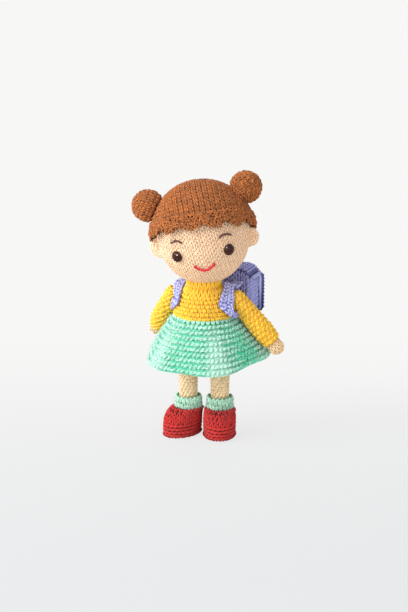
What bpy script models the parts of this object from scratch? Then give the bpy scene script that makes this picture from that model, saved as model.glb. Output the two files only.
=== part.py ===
# A crocheted doll with hair buns, a jumper, a flared skirt and a backpack, modelled in metres.
# She faces -Y, +Z is up, and her left side is at +X. The soles stand on Z = 0.
# Every crocheted skin is a shell of one fabric thickness over its own stuffing.

import math

import bmesh
import bpy
from mathutils import Matrix, Vector

# Fabric, clearances and facets
FABRIC = 0.0016
GAP = 0.0003
STUFFING_GAP = 0.0003
TILT_MARGIN = 0.0003
COARSE_STEPS = 20
ROUND_STEPS = 24
FINE_STEPS = 52
HEAD_STEPS = 28
HEAD_ARC_STEPS = 6
LIMB_STEPS = 16
MERGE = 0.00001

# Head, measured from the centre of its round lower half
HEAD_RADIUS = 0.0234
HEAD_HEIGHT = 0.1060
SKULL_RADIUS = 0.0240
SKULL_RISE = 0.0034
HEAD_TURN = math.radians(18.0)
HEAD_ROLL = math.radians(8.5)
HEAD_TILT_LIMIT = math.radians(10.0)
HEAD_OPENING_ANGLE = math.radians(15.4)

# Hair cap and fringe
HAIR_THICKNESS = 0.0026
HAIR_GAP = 0.0005
FRINGE_THICKNESS = 0.0031
FRINGE_DEPTH = 0.0046
HAIRLINE_MIDDLE = 0.0034
HAIRLINE_SLOPE = 0.0085
HAIRLINE_BEND = 0.0009
SCALLOP_DEPTH = 0.0013
SCALLOPS = 13
SCALLOP_PHASE = math.radians(6.0)

# Hair buns, placed from the head's centre
BUN_RADIUS = 0.0084
BUN_SPREAD_LEFT = 0.0249
BUN_SPREAD_RIGHT = 0.0262
BUN_BACK = 0.0020
BUN_HEIGHT_LEFT = 0.0230
BUN_HEIGHT_RIGHT = 0.0203

# Ears
EAR_RADIUS = 0.0051
EAR_RIM = 0.0016
EAR_DISH = 0.0007
EAR_SPREAD = 0.0232
EAR_BACK = 0.0020
EAR_DROP = 0.0030

# Safety eyes
EYE_RADIUS = 0.0030
EYE_DOME = 0.0021
EYE_SPREAD = 0.0130
EYE_DROP = 0.0035
EYE_SHANK_RADIUS = 0.0010
EYE_SHANK_LENGTH = 0.0066
WASHER_RADIUS = 0.0026
WASHER_THICKNESS = 0.0008

# Embroidery
THREAD_RADIUS = 0.0004
BROW_SPREAD = 0.0124
BROW_RISE = 0.0036
BROW_HALF_WIDTH = 0.0030
BROW_SAG = 0.0012
MOUTH_HALF_WIDTH = 0.0053
MOUTH_DROP = 0.0092
MOUTH_SAG = 0.0031

# Neck rod, its foot's height a share of the torso's rise
ROD_RADIUS = 0.0016
ROD_FOOT_SHARE = 0.13

# Jumper body, its heights shares of the torso's rise from the waist to the collar's rim
COLLAR_RADIUS = 0.0098
NECK_RADIUS = 0.0094
NECK_SHARE = 0.845
SHOULDER_RADIUS = 0.0127
SHOULDER_SHARE = 0.595
CHEST_RADIUS = 0.0152
CHEST_SHARE = 0.287
WAIST_RADIUS = 0.0163
WAIST_HEIGHT = 0.0656

# Hips and skirt, measured down from the waist
HIP_RADIUS = 0.0141
HIP_DEPTH = 0.0186
HIP_FLOOR_RADIUS = 0.0085
HEM_RADIUS = 0.0320
SKIRT_DROP = 0.0214
HEM_DIP = 0.0014
HEM_BOW = 0.0008
HEM_SHIFT = 0.0015
FLUTE_DEPTH = 0.0015
FLUTES = 7
FLUTE_PHASE = math.radians(-42.0)
SKIRT_ROWS = 5

# Legs, socks and shoes
LEG_SPREAD_LEFT = 0.0075
LEG_SPREAD_RIGHT = 0.0089
LEG_BACK_LEFT = 0.0040
LEG_BACK_RIGHT = 0.0
LEG_RADIUS = 0.0051
LEG_FOOT_HEIGHT = 0.0150
SOCK_RADIUS = 0.0070
SOCK_TOP_HEIGHT = 0.0203
SHOE_HEIGHT = 0.0146
SHOE_HALF_WIDTH = 0.0084
SHOE_HALF_LENGTH = 0.0118
SHOE_FORWARD = 0.0046
SHOE_MOUTH_RADIUS = 0.0060
INSOLE_THICKNESS = 0.0008
FOOT_TURN_LEFT = math.radians(18.0)
FOOT_TURN_RIGHT = math.radians(-22.0)

# Arms, measured along the arm from the shoulder's pivot, its height a share of the torso's rise
ARM_SPREAD = 0.0178
ARM_BACK = 0.0020
ARM_SHARE = 0.467
ARM_BALL_RADIUS = 0.0040
SLEEVE_RADIUS = 0.0051
UPPER_ARM_RADIUS = 0.0043
SLEEVE_LENGTH = 0.0285
CUFF_RADIUS = 0.0046
HAND_RADIUS = 0.0041
WRIST_RADIUS = 0.0038
HAND_LENGTH = 0.0077
ARM_OUT_LEFT = math.radians(39.5)
ARM_OUT_RIGHT = math.radians(43.0)
ARM_SWEEP_LEFT = math.radians(15.0)
ARM_SWEEP_RIGHT = math.radians(42.0)

# Backpack, its foot measured down from the waist
PACK_HALF_WIDTH = 0.0172
PACK_SHIFT = 0.0015
PACK_FRONT = 0.0182
PACK_BACK = 0.0348
PACK_DROP = 0.0035
PACK_HEIGHT = 0.0237
PACK_CORNER = 0.0026
PACK_WALL = 0.0015
FLAP_THICKNESS = 0.0016
FLAP_CORNER = 0.0062
FLAP_LIFT = 0.0019
EDGING_RADIUS = 0.0011
CORNER_STEPS = 8
PACK_BOTTOM = WAIST_HEIGHT - PACK_DROP
PACK_TOP = PACK_BOTTOM + PACK_HEIGHT

# Shoulder straps, their turns measured round the chest from its front
STRAP_HALF_WIDTH = 0.0029
STRAP_THICKNESS = 0.0013
STRAP_TURN_LEFT = math.radians(49.0)
STRAP_TURN_RIGHT = math.radians(37.0)
STRAP_TURN_SPAN = math.radians(20.0)
STRAP_SAMPLES = 30

COLOURS = {
    "face_yarn": (0.84, 0.57, 0.37),
    "hair_yarn": (0.38, 0.12, 0.03),
    "jumper_yarn": (0.85, 0.51, 0.03),
    "skirt_yarn": (0.26, 0.73, 0.54),
    "sock_yarn": (0.36, 0.60, 0.45),
    "shoe_yarn": (0.42, 0.03, 0.025),
    "pack_yarn": (0.26, 0.28, 0.52),
    "edging_yarn": (0.08, 0.09, 0.26),
    "eye_plastic": (0.045, 0.02, 0.012),
    "brow_thread": (0.10, 0.035, 0.03),
    "mouth_thread": (0.58, 0.015, 0.025),
    "stuffing_fibre": (0.85, 0.85, 0.83),
    "insole_card": (0.60, 0.58, 0.52),
    "rod_wood": (0.62, 0.45, 0.26),
}
ROUGHNESS = {"eye_plastic": 0.15, "insole_card": 0.7, "rod_wood": 0.6}
YARN_ROUGHNESS = 0.95


# Setting up

def clear_scene():
    for item in list(bpy.data.objects):
        bpy.data.objects.remove(item, do_unlink=True)


def new_collection(name):
    collection = bpy.data.collections.new(name)
    bpy.context.scene.collection.children.link(collection)
    return collection


def make_material(name):
    material = bpy.data.materials.new(name)
    material.use_nodes = True
    shader = material.node_tree.nodes["Principled BSDF"]
    shader.inputs["Base Color"].default_value = (*COLOURS[name], 1.0)
    shader.inputs["Roughness"].default_value = ROUGHNESS.get(name, YARN_ROUGHNESS)
    shader.inputs["Metallic"].default_value = 0.0
    return material


clear_scene()
DOLL = new_collection("crocheted_doll")
CUTTERS = new_collection("cutters")
MATERIALS = {name: make_material(name) for name in COLOURS}


def new_empty(name, matrix, parent=None):
    empty = bpy.data.objects.new(name, None)
    DOLL.objects.link(empty)
    empty.parent = parent
    empty.matrix_basis = matrix
    return empty


# Every piece hangs under this frame, which is moved last so that the doll stands over the origin
FRAME = new_empty("doll_frame", Matrix.Identity(4))


def add_object(name, mesh, material, parent=None, matrix=None):
    item = bpy.data.objects.new(name, mesh)
    DOLL.objects.link(item)
    item.parent = parent or FRAME
    if matrix is not None:
        item.matrix_basis = matrix
    mesh.materials.append(MATERIALS[material])
    mesh.shade_smooth()
    mesh.set_sharp_from_angle(angle=math.radians(50.0))
    return item


def mark_cutter(item):
    DOLL.objects.unlink(item)
    CUTTERS.objects.link(item)
    item.hide_render = True
    item.display_type = "WIRE"
    return item


def cut(item, cutter):
    modifier = item.modifiers.new("cut by " + cutter.name, "BOOLEAN")
    modifier.operation = "DIFFERENCE"
    modifier.object = cutter


def thicken(item, thickness, outward):
    modifier = item.modifiers.new("fabric", "SOLIDIFY")
    modifier.thickness = thickness
    modifier.offset = 1.0 if outward else -1.0
    modifier.use_even_offset = True


def aim(point, direction):
    # A frame at the point whose Z axis runs along the direction.
    turn = Vector(direction).normalized().to_track_quat("Z", "Y")
    return Matrix.Translation(point) @ turn.to_matrix().to_4x4()


# Shapes

def arc(centre_height, radius, start, end, steps):
    # Angles are measured from the top pole; the result runs down the outer side.
    points = []
    for step in range(steps + 1):
        angle = start + (end - start) * step / steps
        points.append((radius * math.sin(angle), centre_height + radius * math.cos(angle)))
    return points


def smooth_path(points, samples):
    # A curve through the points, as Catmull-Rom pieces; points of any dimension.
    padded = [points[0]] + list(points) + [points[-1]]
    pieces = len(points) - 1
    result = []
    for sample in range(samples + 1):
        place = min(sample / samples * pieces, pieces - MERGE)
        index = int(place)
        t = place - index
        before, start, end, after = (Vector(p) for p in padded[index:index + 4])
        result.append(0.5 * (2.0 * start + (end - before) * t
                             + (2.0 * before - 5.0 * start + 4.0 * end - after) * t * t
                             + (3.0 * start - before - 3.0 * end + after) * t ** 3))
    return result


def turned(name, profile, material, steps=ROUND_STEPS, parent=None, matrix=None, closed=False):
    # The profile lies in the XZ plane and runs down its outer side, top to bottom.
    mesh = bpy.data.meshes.new(name)
    edges = [(i, i + 1) for i in range(len(profile) - 1)]
    if closed:
        edges.append((len(profile) - 1, 0))
    mesh.from_pydata([(radius, 0.0, height) for radius, height in profile], edges, [])
    item = add_object(name, mesh, material, parent, matrix)
    screw = item.modifiers.new("turn", "SCREW")
    screw.axis = "Z"
    screw.steps = steps
    screw.render_steps = steps
    screw.use_merge_vertices = True
    screw.merge_threshold = MERGE
    screw.use_smooth_shade = True
    return item


def turned_cutter(name, profile, parent=None, matrix=None, steps=ROUND_STEPS):
    return mark_cutter(turned(name, profile, "stuffing_fibre", steps, parent, matrix))


def ball_cutter(name, radius, centre, parent=None, steps=ROUND_STEPS):
    profile = arc(0.0, radius, 0.0, math.pi, steps // 2)
    return turned_cutter(name, profile, parent, Matrix.Translation(centre), steps)


def ring_surface(name, loops, material, parent=None, matrix=None, top_pole=None, floor=False):
    # An open surface through loops of points, the first loop the highest. A pole closes the top
    # and a floor closes the last loop.
    shell = bmesh.new()
    rings = [[shell.verts.new(point) for point in loop] for loop in loops]
    count = len(rings[0])
    for upper, lower in zip(rings, rings[1:]):
        for i in range(count):
            j = (i + 1) % count
            shell.faces.new((upper[i], lower[i], lower[j], upper[j]))
    if top_pole is not None:
        pole = shell.verts.new(top_pole)
        for i in range(count):
            shell.faces.new((pole, rings[0][i], rings[0][(i + 1) % count]))
    if floor:
        shell.faces.new(list(reversed(rings[-1])))
    mesh = bpy.data.meshes.new(name)
    shell.to_mesh(mesh)
    shell.free()
    return add_object(name, mesh, material, parent, matrix)


def thread(name, points, radius, material, parent=None, resolution=2, cyclic=False):
    curve = bpy.data.curves.new(name, "CURVE")
    curve.dimensions = "3D"
    curve.bevel_depth = radius
    curve.bevel_resolution = resolution
    curve.use_fill_caps = True
    spline = curve.splines.new("POLY")
    spline.points.add(len(points) - 1)
    for target, point in zip(spline.points, points):
        target.co = (*point, 1.0)
    spline.use_cyclic_u = cyclic
    curve.materials.append(MATERIALS[material])
    item = bpy.data.objects.new(name, curve)
    DOLL.objects.link(item)
    item.parent = parent or FRAME
    return item


# The head's outline

def skull_radius(height):
    if height >= SKULL_RISE:
        return math.sqrt(max(SKULL_RADIUS ** 2 - (height - SKULL_RISE) ** 2, 0.0))
    if height >= 0.0:
        return HEAD_RADIUS + (SKULL_RADIUS - HEAD_RADIUS) * height / SKULL_RISE
    return math.sqrt(HEAD_RADIUS ** 2 - height ** 2)


def head_outline(inset, opening, steps):
    upper = arc(SKULL_RISE, SKULL_RADIUS - inset, 0.0, math.pi / 2.0, steps)
    lower = arc(0.0, HEAD_RADIUS - inset, math.pi / 2.0, math.pi - opening, steps)
    return upper + lower


def head_surface_point(across, height, lift):
    # A point on the face's side of the head, at a lift above the yarn.
    growth = 1.0 + lift / HEAD_RADIUS
    radius = growth * skull_radius(height / growth)
    return Vector((across, -math.sqrt(radius ** 2 - across ** 2), height))


def hairline(angle):
    # Height of the fringe's edge at an angle round the head from the face.
    return (HAIRLINE_MIDDLE + HAIRLINE_SLOPE * math.cos(angle)
            - HAIRLINE_BEND * math.cos(2.0 * angle))


def scallop(angle):
    wave = abs(math.cos((angle - SCALLOP_PHASE) * SCALLOPS / 2.0 + math.pi / 2.0))
    return SCALLOP_DEPTH * (wave - 0.5)


def hair_point(angle, slope, lift):
    height = SKULL_RISE + SKULL_RADIUS * math.cos(slope)
    radius = skull_radius(height)
    outward = Vector((radius, height - SKULL_RISE)).normalized() * lift
    radius += outward.x
    height += outward.y
    return (radius * math.sin(angle), -radius * math.cos(angle), height)


def slope_at(height):
    return math.acos(max(-1.0, min(1.0, (height - SKULL_RISE) / SKULL_RADIUS)))


def hair_loops(start_slope, end_slope, rows, lift):
    loops = []
    for row in range(rows + 1):
        loop = []
        for step in range(FINE_STEPS):
            angle = 2.0 * math.pi * step / FINE_STEPS
            top = start_slope(angle)
            slope = top + (end_slope(angle) - top) * row / rows
            loop.append(hair_point(angle, slope, lift))
        loops.append(loop)
    return loops


# Head pieces

def make_neck_rod():
    tip = arc(HEAD_HEIGHT, ROD_RADIUS, 0.0, math.pi / 2.0, COARSE_STEPS // 4)
    foot = torso_height(ROD_FOOT_SHARE)
    profile = tip + [(ROD_RADIUS, foot), (0.0, foot)]
    turned("neck_rod", profile, "rod_wood", COARSE_STEPS)


def make_rod_channel(head):
    # The rod rocks in this flared channel when the head tilts.
    top_radius = ROD_RADIUS + GAP + TILT_MARGIN
    mouth_radius = HEAD_RADIUS * math.tan(HEAD_TILT_LIMIT) + top_radius
    overrun = HEAD_RADIUS + FABRIC
    tip = arc(0.0, top_radius, 0.0, math.pi / 2.0, COARSE_STEPS // 4)
    profile = tip + [(mouth_radius, -HEAD_RADIUS), (mouth_radius, -overrun), (0.0, -overrun)]
    return turned_cutter("rod_channel", profile, head, steps=COARSE_STEPS)


def eye_frame(side):
    place = head_surface_point(side * EYE_SPREAD, -EYE_DROP, 0.0)
    return aim(place, place)


def make_head_shell(head, shank_holes):
    outer = head_outline(0.0, HEAD_OPENING_ANGLE, HEAD_ARC_STEPS)
    inner = head_outline(FABRIC, HEAD_OPENING_ANGLE, HEAD_ARC_STEPS)
    shell = turned("head_shell", outer + list(reversed(inner)), "face_yarn", HEAD_STEPS, head)
    for hole in shank_holes:
        cut(shell, hole)


def make_head_stuffing(head, channel, pockets):
    inset = FABRIC + STUFFING_GAP
    profile = head_outline(inset, 0.0, 5)
    stuffing = turned("head_stuffing", profile, "stuffing_fibre", LIMB_STEPS, head)
    cut(stuffing, channel)
    for pocket in pockets:
        cut(stuffing, pocket)


def make_eye(side, label, head):
    # The dome's flat back stands on the face, its shank runs in to the washer behind the fabric.
    frame = eye_frame(side)
    seat = GAP
    dome_steps = 5
    dome = []
    for step in range(dome_steps + 1):
        angle = math.pi / 2.0 * step / dome_steps
        dome.append((EYE_RADIUS * math.sin(angle), seat + EYE_DOME * math.cos(angle)))
    foot = seat - EYE_SHANK_LENGTH
    profile = dome + [(EYE_SHANK_RADIUS, seat), (EYE_SHANK_RADIUS, foot), (0.0, foot)]
    turned("eye_" + label, profile, "eye_plastic", COARSE_STEPS, head, frame)

    washer_top = -(FABRIC + GAP + WASHER_THICKNESS / 4.0)
    washer_foot = washer_top - WASHER_THICKNESS
    bore = EYE_SHANK_RADIUS + GAP
    ring = [(bore, washer_top), (WASHER_RADIUS, washer_top),
            (WASHER_RADIUS, washer_foot), (bore, washer_foot)]
    turned("eye_washer_" + label, ring, "eye_plastic", COARSE_STEPS, head, frame, closed=True)

    hole = [(0.0, FABRIC), (bore, FABRIC), (bore, foot - GAP), (0.0, foot - GAP)]
    shank_hole = turned_cutter("shank_hole_" + label, hole, head, frame, COARSE_STEPS)
    pocket_radius = WASHER_RADIUS + GAP
    pocket = [(0.0, FABRIC), (pocket_radius, FABRIC),
              (pocket_radius, washer_foot - GAP), (bore, washer_foot - GAP),
              (bore, foot - GAP), (0.0, foot - GAP)]
    washer_pocket = turned_cutter("washer_pocket_" + label, pocket, head, frame, COARSE_STEPS)
    return shank_hole, washer_pocket


def make_brow(side, label, head):
    points = []
    samples = 6
    for step in range(samples + 1):
        share = 2.0 * step / samples - 1.0
        across = side * BROW_SPREAD + share * BROW_HALF_WIDTH
        height = BROW_RISE + BROW_SAG * (1.0 - share * share)
        points.append(head_surface_point(across, height, THREAD_RADIUS + GAP))
    thread("eyebrow_" + label, points, THREAD_RADIUS, "brow_thread", head)


def make_mouth(head):
    points = []
    samples = 10
    for step in range(samples + 1):
        share = 2.0 * step / samples - 1.0
        height = -MOUTH_DROP - MOUTH_SAG * (1.0 - share * share)
        points.append(head_surface_point(share * MOUTH_HALF_WIDTH, height, THREAD_RADIUS + GAP))
    thread("mouth", points, THREAD_RADIUS, "mouth_thread", head)


def make_hair(head):
    def pole(angle):
        return math.radians(13.0)

    def cap_edge(angle):
        return slope_at(hairline(angle) + FRINGE_DEPTH)

    def fringe_top(angle):
        return cap_edge(angle) + GAP / SKULL_RADIUS

    def fringe_edge(angle):
        return slope_at(hairline(angle) - scallop(angle))

    top = (0.0, 0.0, SKULL_RISE + SKULL_RADIUS + HAIR_GAP)
    cap = ring_surface("hair_cap", hair_loops(pole, cap_edge, 6, HAIR_GAP), "hair_yarn", head,
                       top_pole=top)
    thicken(cap, HAIR_THICKNESS, outward=True)
    fringe = ring_surface("hair_fringe", hair_loops(fringe_top, fringe_edge, 2, HAIR_GAP),
                          "hair_yarn", head)
    thicken(fringe, FRINGE_THICKNESS, outward=True)


def make_bun(across, label, rise, head, hair_ball):
    place = Vector((across, BUN_BACK, rise))
    frame = aim(place, place - Vector((0.0, 0.0, SKULL_RISE)))
    steps = 8
    full = math.pi
    outer = arc(0.0, BUN_RADIUS, 0.0, full * 0.86, steps)
    inner = arc(0.0, BUN_RADIUS - FABRIC, 0.0, full * 0.86, steps)
    shell = turned("bun_" + label, outer + list(reversed(inner)), "hair_yarn",
                   COARSE_STEPS, head, frame)
    cut(shell, hair_ball)
    core = arc(0.0, BUN_RADIUS - FABRIC - STUFFING_GAP, 0.0, full, 7)
    stuffing = turned("bun_stuffing_" + label, core, "stuffing_fibre", 16, head, frame)
    cut(stuffing, hair_ball)


def make_ear(side, label, head, head_form):
    # A thick round dish that opens forward, cut where it is sewn to the head.
    dish_radius = EAR_RADIUS - EAR_RIM
    rim = arc(0.0, EAR_RIM, 0.0, math.pi, 6)
    profile = [(0.0, EAR_RIM - EAR_DISH)]
    profile += [(dish_radius + radius, height) for radius, height in rim]
    profile += [(0.0, -EAR_RIM)]
    place = Vector((side * EAR_SPREAD, EAR_BACK, -EAR_DROP))
    ear = turned("ear_" + label, profile, "face_yarn", COARSE_STEPS, head,
                 aim(place, (side * 0.35, -1.0, 0.0)))
    cut(ear, head_form)


def make_head():
    turn = Matrix.Rotation(HEAD_TURN, 4, "Z") @ Matrix.Rotation(-HEAD_ROLL, 4, "Y")
    head = new_empty("head_pivot", Matrix.Translation((0.0, 0.0, HEAD_HEIGHT)) @ turn, FRAME)
    channel = make_rod_channel(head)
    eyes = [make_eye(-1.0, "right", head), make_eye(1.0, "left", head)]
    make_head_shell(head, [hole for hole, pocket in eyes])
    make_head_stuffing(head, channel, [pocket for hole, pocket in eyes])
    make_brow(-1.0, "right", head)
    make_brow(1.0, "left", head)
    make_mouth(head)
    make_hair(head)
    hair_ball = ball_cutter("hair_ball", SKULL_RADIUS + HAIR_GAP + HAIR_THICKNESS + GAP,
                            (0.0, 0.0, SKULL_RISE), head, 40)
    make_bun(-BUN_SPREAD_RIGHT, "right", BUN_HEIGHT_RIGHT, head, hair_ball)
    make_bun(BUN_SPREAD_LEFT, "left", BUN_HEIGHT_LEFT, head, hair_ball)
    head_form = turned_cutter("head_form", head_outline(-GAP, 0.0, HEAD_ARC_STEPS), head,
                              steps=HEAD_STEPS)
    make_ear(-1.0, "right", head, head_form)
    make_ear(1.0, "left", head, head_form)
    make_neck_rod()


# Body pieces

def seat_height(radius):
    # Height of the head's underside, with its gap, at a distance from the neck's axis.
    return HEAD_HEIGHT - math.sqrt((HEAD_RADIUS + GAP) ** 2 - radius ** 2)


def torso_height(share):
    return WAIST_HEIGHT + (seat_height(COLLAR_RADIUS) - WAIST_HEIGHT) * share


def jumper_outline(inset):
    rim = COLLAR_RADIUS - inset
    points = [(rim, seat_height(rim)), (NECK_RADIUS - inset, torso_height(NECK_SHARE)),
              (SHOULDER_RADIUS - inset, torso_height(SHOULDER_SHARE)),
              (CHEST_RADIUS - inset, torso_height(CHEST_SHARE)),
              (WAIST_RADIUS - inset, WAIST_HEIGHT)]
    return [tuple(point) for point in smooth_path(points, 8)]


def hip_outline(inset, top):
    bend = HIP_RADIUS - HIP_FLOOR_RADIUS
    side = [(HIP_RADIUS - inset, top)]
    corner = arc(WAIST_HEIGHT - HIP_DEPTH + bend, bend - inset, math.pi / 2.0, math.pi, 5)
    side += [(HIP_FLOOR_RADIUS + radius, height) for radius, height in corner]
    return side + [(0.0, WAIST_HEIGHT - HIP_DEPTH + inset)]


def arm_pivot(side):
    return Vector((side * ARM_SPREAD, ARM_BACK, torso_height(ARM_SHARE)))


def make_torso():
    sockets = [ball_cutter("socket_right", ARM_BALL_RADIUS + GAP, arm_pivot(-1.0)),
               ball_cutter("socket_left", ARM_BALL_RADIUS + GAP, arm_pivot(1.0))]
    outer = jumper_outline(0.0)
    inner = jumper_outline(FABRIC)
    jumper = turned("jumper_body", outer + list(reversed(inner)), "jumper_yarn", closed=True)
    for socket in sockets:
        cut(jumper, socket)

    hip_top = WAIST_HEIGHT - GAP
    hip_lining = list(reversed(hip_outline(FABRIC, hip_top)))
    turned("hips", hip_lining + hip_outline(0.0, hip_top), "face_yarn", COARSE_STEPS)

    inset = FABRIC + STUFFING_GAP
    filling = jumper_outline(inset)
    reach = HEAD_RADIUS + GAP
    dish = arc(HEAD_HEIGHT, reach, math.pi, math.pi - math.asin(filling[0][0] / reach), 4)
    core = dish + filling[1:-1] + hip_outline(inset, WAIST_HEIGHT)
    stuffing = turned("torso_stuffing", core, "stuffing_fibre", LIMB_STEPS)
    bore = ROD_RADIUS + GAP
    foot = torso_height(ROD_FOOT_SHARE) - GAP
    channel = turned_cutter("torso_channel", [(0.0, HEAD_HEIGHT), (bore, HEAD_HEIGHT),
                                              (bore, foot), (0.0, foot)])
    cut(stuffing, channel)


def skirt_point(angle, share):
    # The angle is measured round from the front; the share runs from waist to hem.
    flute = FLUTE_DEPTH * share ** 2 * math.cos(FLUTES * angle + FLUTE_PHASE)
    radius = WAIST_RADIUS + (HEM_RADIUS - WAIST_RADIUS) * share ** 0.9 + flute
    radius += HEM_SHIFT * share * math.sin(angle)
    height = WAIST_HEIGHT - GAP - SKIRT_DROP * share
    height -= (HEM_DIP * math.cos(angle) + HEM_BOW * math.cos(2.0 * angle)) * share
    return (radius * math.sin(angle), -radius * math.cos(angle), height)


def make_skirt():
    loops = []
    for row in range(SKIRT_ROWS + 1):
        loops.append([skirt_point(2.0 * math.pi * step / FINE_STEPS, row / SKIRT_ROWS)
                      for step in range(FINE_STEPS)])
    skirt = ring_surface("skirt", loops, "skirt_yarn")
    thicken(skirt, FABRIC, outward=False)


def oval(half_width, half_length, forward, height, steps=24):
    loop = []
    for step in range(steps):
        angle = 2.0 * math.pi * step / steps
        loop.append((half_width * math.sin(angle),
                     -forward - half_length * math.cos(angle), height))
    return loop


# Width, length, forward and height of each shoe loop, as shares of the shoe's own sizes
SHOE_LOOP_SHARES = ((0.85, 0.75, 0.32, 0.95), (0.95, 0.88, 0.66, 0.80), (0.99, 0.96, 0.90, 0.56),
                    (1.00, 1.00, 1.00, 0.25), (0.97, 0.97, 1.00, 0.08), (0.89, 0.91, 1.00, 0.00))
FILLING_LOOP_SHARES = ((0.70, 0.60, 0.38, 0.84), (0.88, 0.82, 0.66, 0.70),
                       (0.96, 0.94, 0.92, 0.48), (0.94, 0.94, 1.00, 0.30))


def make_shoe(label, foot):
    loops = [oval(SHOE_MOUTH_RADIUS, SHOE_MOUTH_RADIUS, 0.0, SHOE_HEIGHT)]
    for width, length, forward, height in SHOE_LOOP_SHARES:
        loops.append(oval(SHOE_HALF_WIDTH * width, SHOE_HALF_LENGTH * length,
                          SHOE_FORWARD * forward, SHOE_HEIGHT * height))
    shoe = ring_surface("shoe_" + label, loops, "shoe_yarn", foot, floor=True)
    thicken(shoe, FABRIC, outward=False)

    width_share, length_share = SHOE_LOOP_SHARES[-1][:2]
    inset = FABRIC + GAP
    half_width = SHOE_HALF_WIDTH * width_share - inset
    half_length = SHOE_HALF_LENGTH * length_share - inset
    low = FABRIC + GAP
    high = low + INSOLE_THICKNESS
    insole_loops = [oval(half_width, half_length, SHOE_FORWARD, high),
                    oval(half_width, half_length, SHOE_FORWARD, low)]
    insole = ring_surface("insole_" + label, insole_loops, "insole_card", foot, floor=True)
    close_top(insole)

    core_loops = []
    for width, length, forward, height in FILLING_LOOP_SHARES:
        core_loops.append(oval(SHOE_HALF_WIDTH * width - inset - GAP,
                               SHOE_HALF_LENGTH * length - inset - GAP,
                               SHOE_FORWARD * forward, SHOE_HEIGHT * height))
    core_loops.append(oval(half_width - GAP, half_length - GAP, SHOE_FORWARD, high + GAP))
    core = ring_surface("foot_stuffing_" + label, core_loops, "stuffing_fibre", foot, floor=True)
    close_top(core)


def close_top(item):
    shell = bmesh.new()
    shell.from_mesh(item.data)
    rim = [edge for edge in shell.edges if edge.is_boundary]
    bmesh.ops.edgeloop_fill(shell, edges=rim)
    bmesh.ops.recalc_face_normals(shell, faces=shell.faces)
    shell.to_mesh(item.data)
    shell.free()


def make_leg(across, back, label, turn_angle, hip_cutter):
    place = Matrix.Translation((across, back, 0.0))
    leg_top = WAIST_HEIGHT - HIP_DEPTH + HIP_FLOOR_RADIUS
    ankle = LEG_RADIUS * 0.94
    outer = [(LEG_RADIUS, leg_top), (LEG_RADIUS, (leg_top + SOCK_TOP_HEIGHT) / 2.0),
             (ankle, LEG_FOOT_HEIGHT)]
    inner = [(radius - FABRIC, height) for radius, height in reversed(outer)]
    leg = turned("leg_" + label, outer + inner, "face_yarn", COARSE_STEPS, None, place,
                 closed=True)
    cut(leg, hip_cutter)
    inset = FABRIC + STUFFING_GAP
    core = [(0.0, leg_top)] + [(radius - inset, height) for radius, height in outer]
    core.append((0.0, LEG_FOOT_HEIGHT))
    stuffing = turned("leg_stuffing_" + label, core, "stuffing_fibre", 16, None, place)
    cut(stuffing, hip_cutter)

    bore = LEG_RADIUS + GAP
    edge = (SOCK_RADIUS - bore) / 2.0
    low = SHOE_HEIGHT + GAP
    roll = arc(SOCK_TOP_HEIGHT - edge, edge, -math.pi / 2.0, math.pi / 2.0, 4)
    sock = [(bore + edge + radius, height) for radius, height in roll]
    sock += [(SOCK_RADIUS, low), (bore, low)]
    turned("sock_" + label, sock, "sock_yarn", 24, None, place, closed=True)

    foot = new_empty("foot_place_" + label, place @ Matrix.Rotation(turn_angle, 4, "Z"), FRAME)
    make_shoe(label, foot)


def make_legs():
    grown = hip_outline(-GAP, WAIST_HEIGHT)
    hip_cutter = turned_cutter("hip_cutter", [(0.0, WAIST_HEIGHT)] + grown, steps=COARSE_STEPS)
    make_leg(-LEG_SPREAD_RIGHT, LEG_BACK_RIGHT, "right", FOOT_TURN_RIGHT, hip_cutter)
    make_leg(LEG_SPREAD_LEFT, LEG_BACK_LEFT, "left", FOOT_TURN_LEFT, hip_cutter)


# Arms

def arm_direction(side, out, sweep):
    return Vector((side * math.sin(out) * math.cos(sweep), math.sin(out) * math.sin(sweep),
                   -math.cos(out)))


def sleeve_side(inset):
    # Radius and distance along the arm, from the ball's side to the cuff.
    points = [(ARM_BALL_RADIUS - inset, 0.0),
              (UPPER_ARM_RADIUS - inset, SLEEVE_LENGTH * 0.30),
              (SLEEVE_RADIUS - inset, SLEEVE_LENGTH * 0.70),
              (CUFF_RADIUS - inset, SLEEVE_LENGTH)]
    return [tuple(point) for point in smooth_path(points, 5)]


def ball_end(inset):
    # From the cuff-side equator of the ball round to its pole, the pole on the arm's axis.
    reach = ARM_BALL_RADIUS - inset
    return arc(0.0, reach, math.pi / 2.0, math.pi, 5)


def hand_side(inset, start):
    bulge = SLEEVE_LENGTH + HAND_LENGTH - HAND_RADIUS
    points = [(WRIST_RADIUS - inset, start), (HAND_RADIUS - inset, bulge)]
    tip = arc(bulge, HAND_RADIUS - inset, math.pi / 2.0, 0.0, 5)
    return points + tip[1:]


def make_arm(side, label, out, sweep):
    arm = new_empty("arm_pivot_" + label, aim(arm_pivot(side), arm_direction(side, out, sweep)),
                    FRAME)
    outer = list(reversed(sleeve_side(0.0))) + ball_end(0.0)[1:]
    inner = list(reversed(sleeve_side(FABRIC))) + ball_end(FABRIC)[1:]
    turned("sleeve_" + label, list(reversed(inner)) + outer, "jumper_yarn", LIMB_STEPS, arm)

    start = SLEEVE_LENGTH + GAP
    skin = list(reversed(hand_side(0.0, start)))
    lining = hand_side(FABRIC, start)
    turned("hand_" + label, skin + lining, "face_yarn", LIMB_STEPS, arm)

    inset = FABRIC + STUFFING_GAP
    wrist = min(CUFF_RADIUS, WRIST_RADIUS) - inset
    core = list(reversed(hand_side(inset, start)))
    core += [(wrist, SLEEVE_LENGTH * 0.98)]
    core += list(reversed(sleeve_side(inset)))[1:] + ball_end(inset)[1:]
    turned("arm_stuffing_" + label, core, "stuffing_fibre", LIMB_STEPS - 4, arm)


# Backpack

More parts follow.
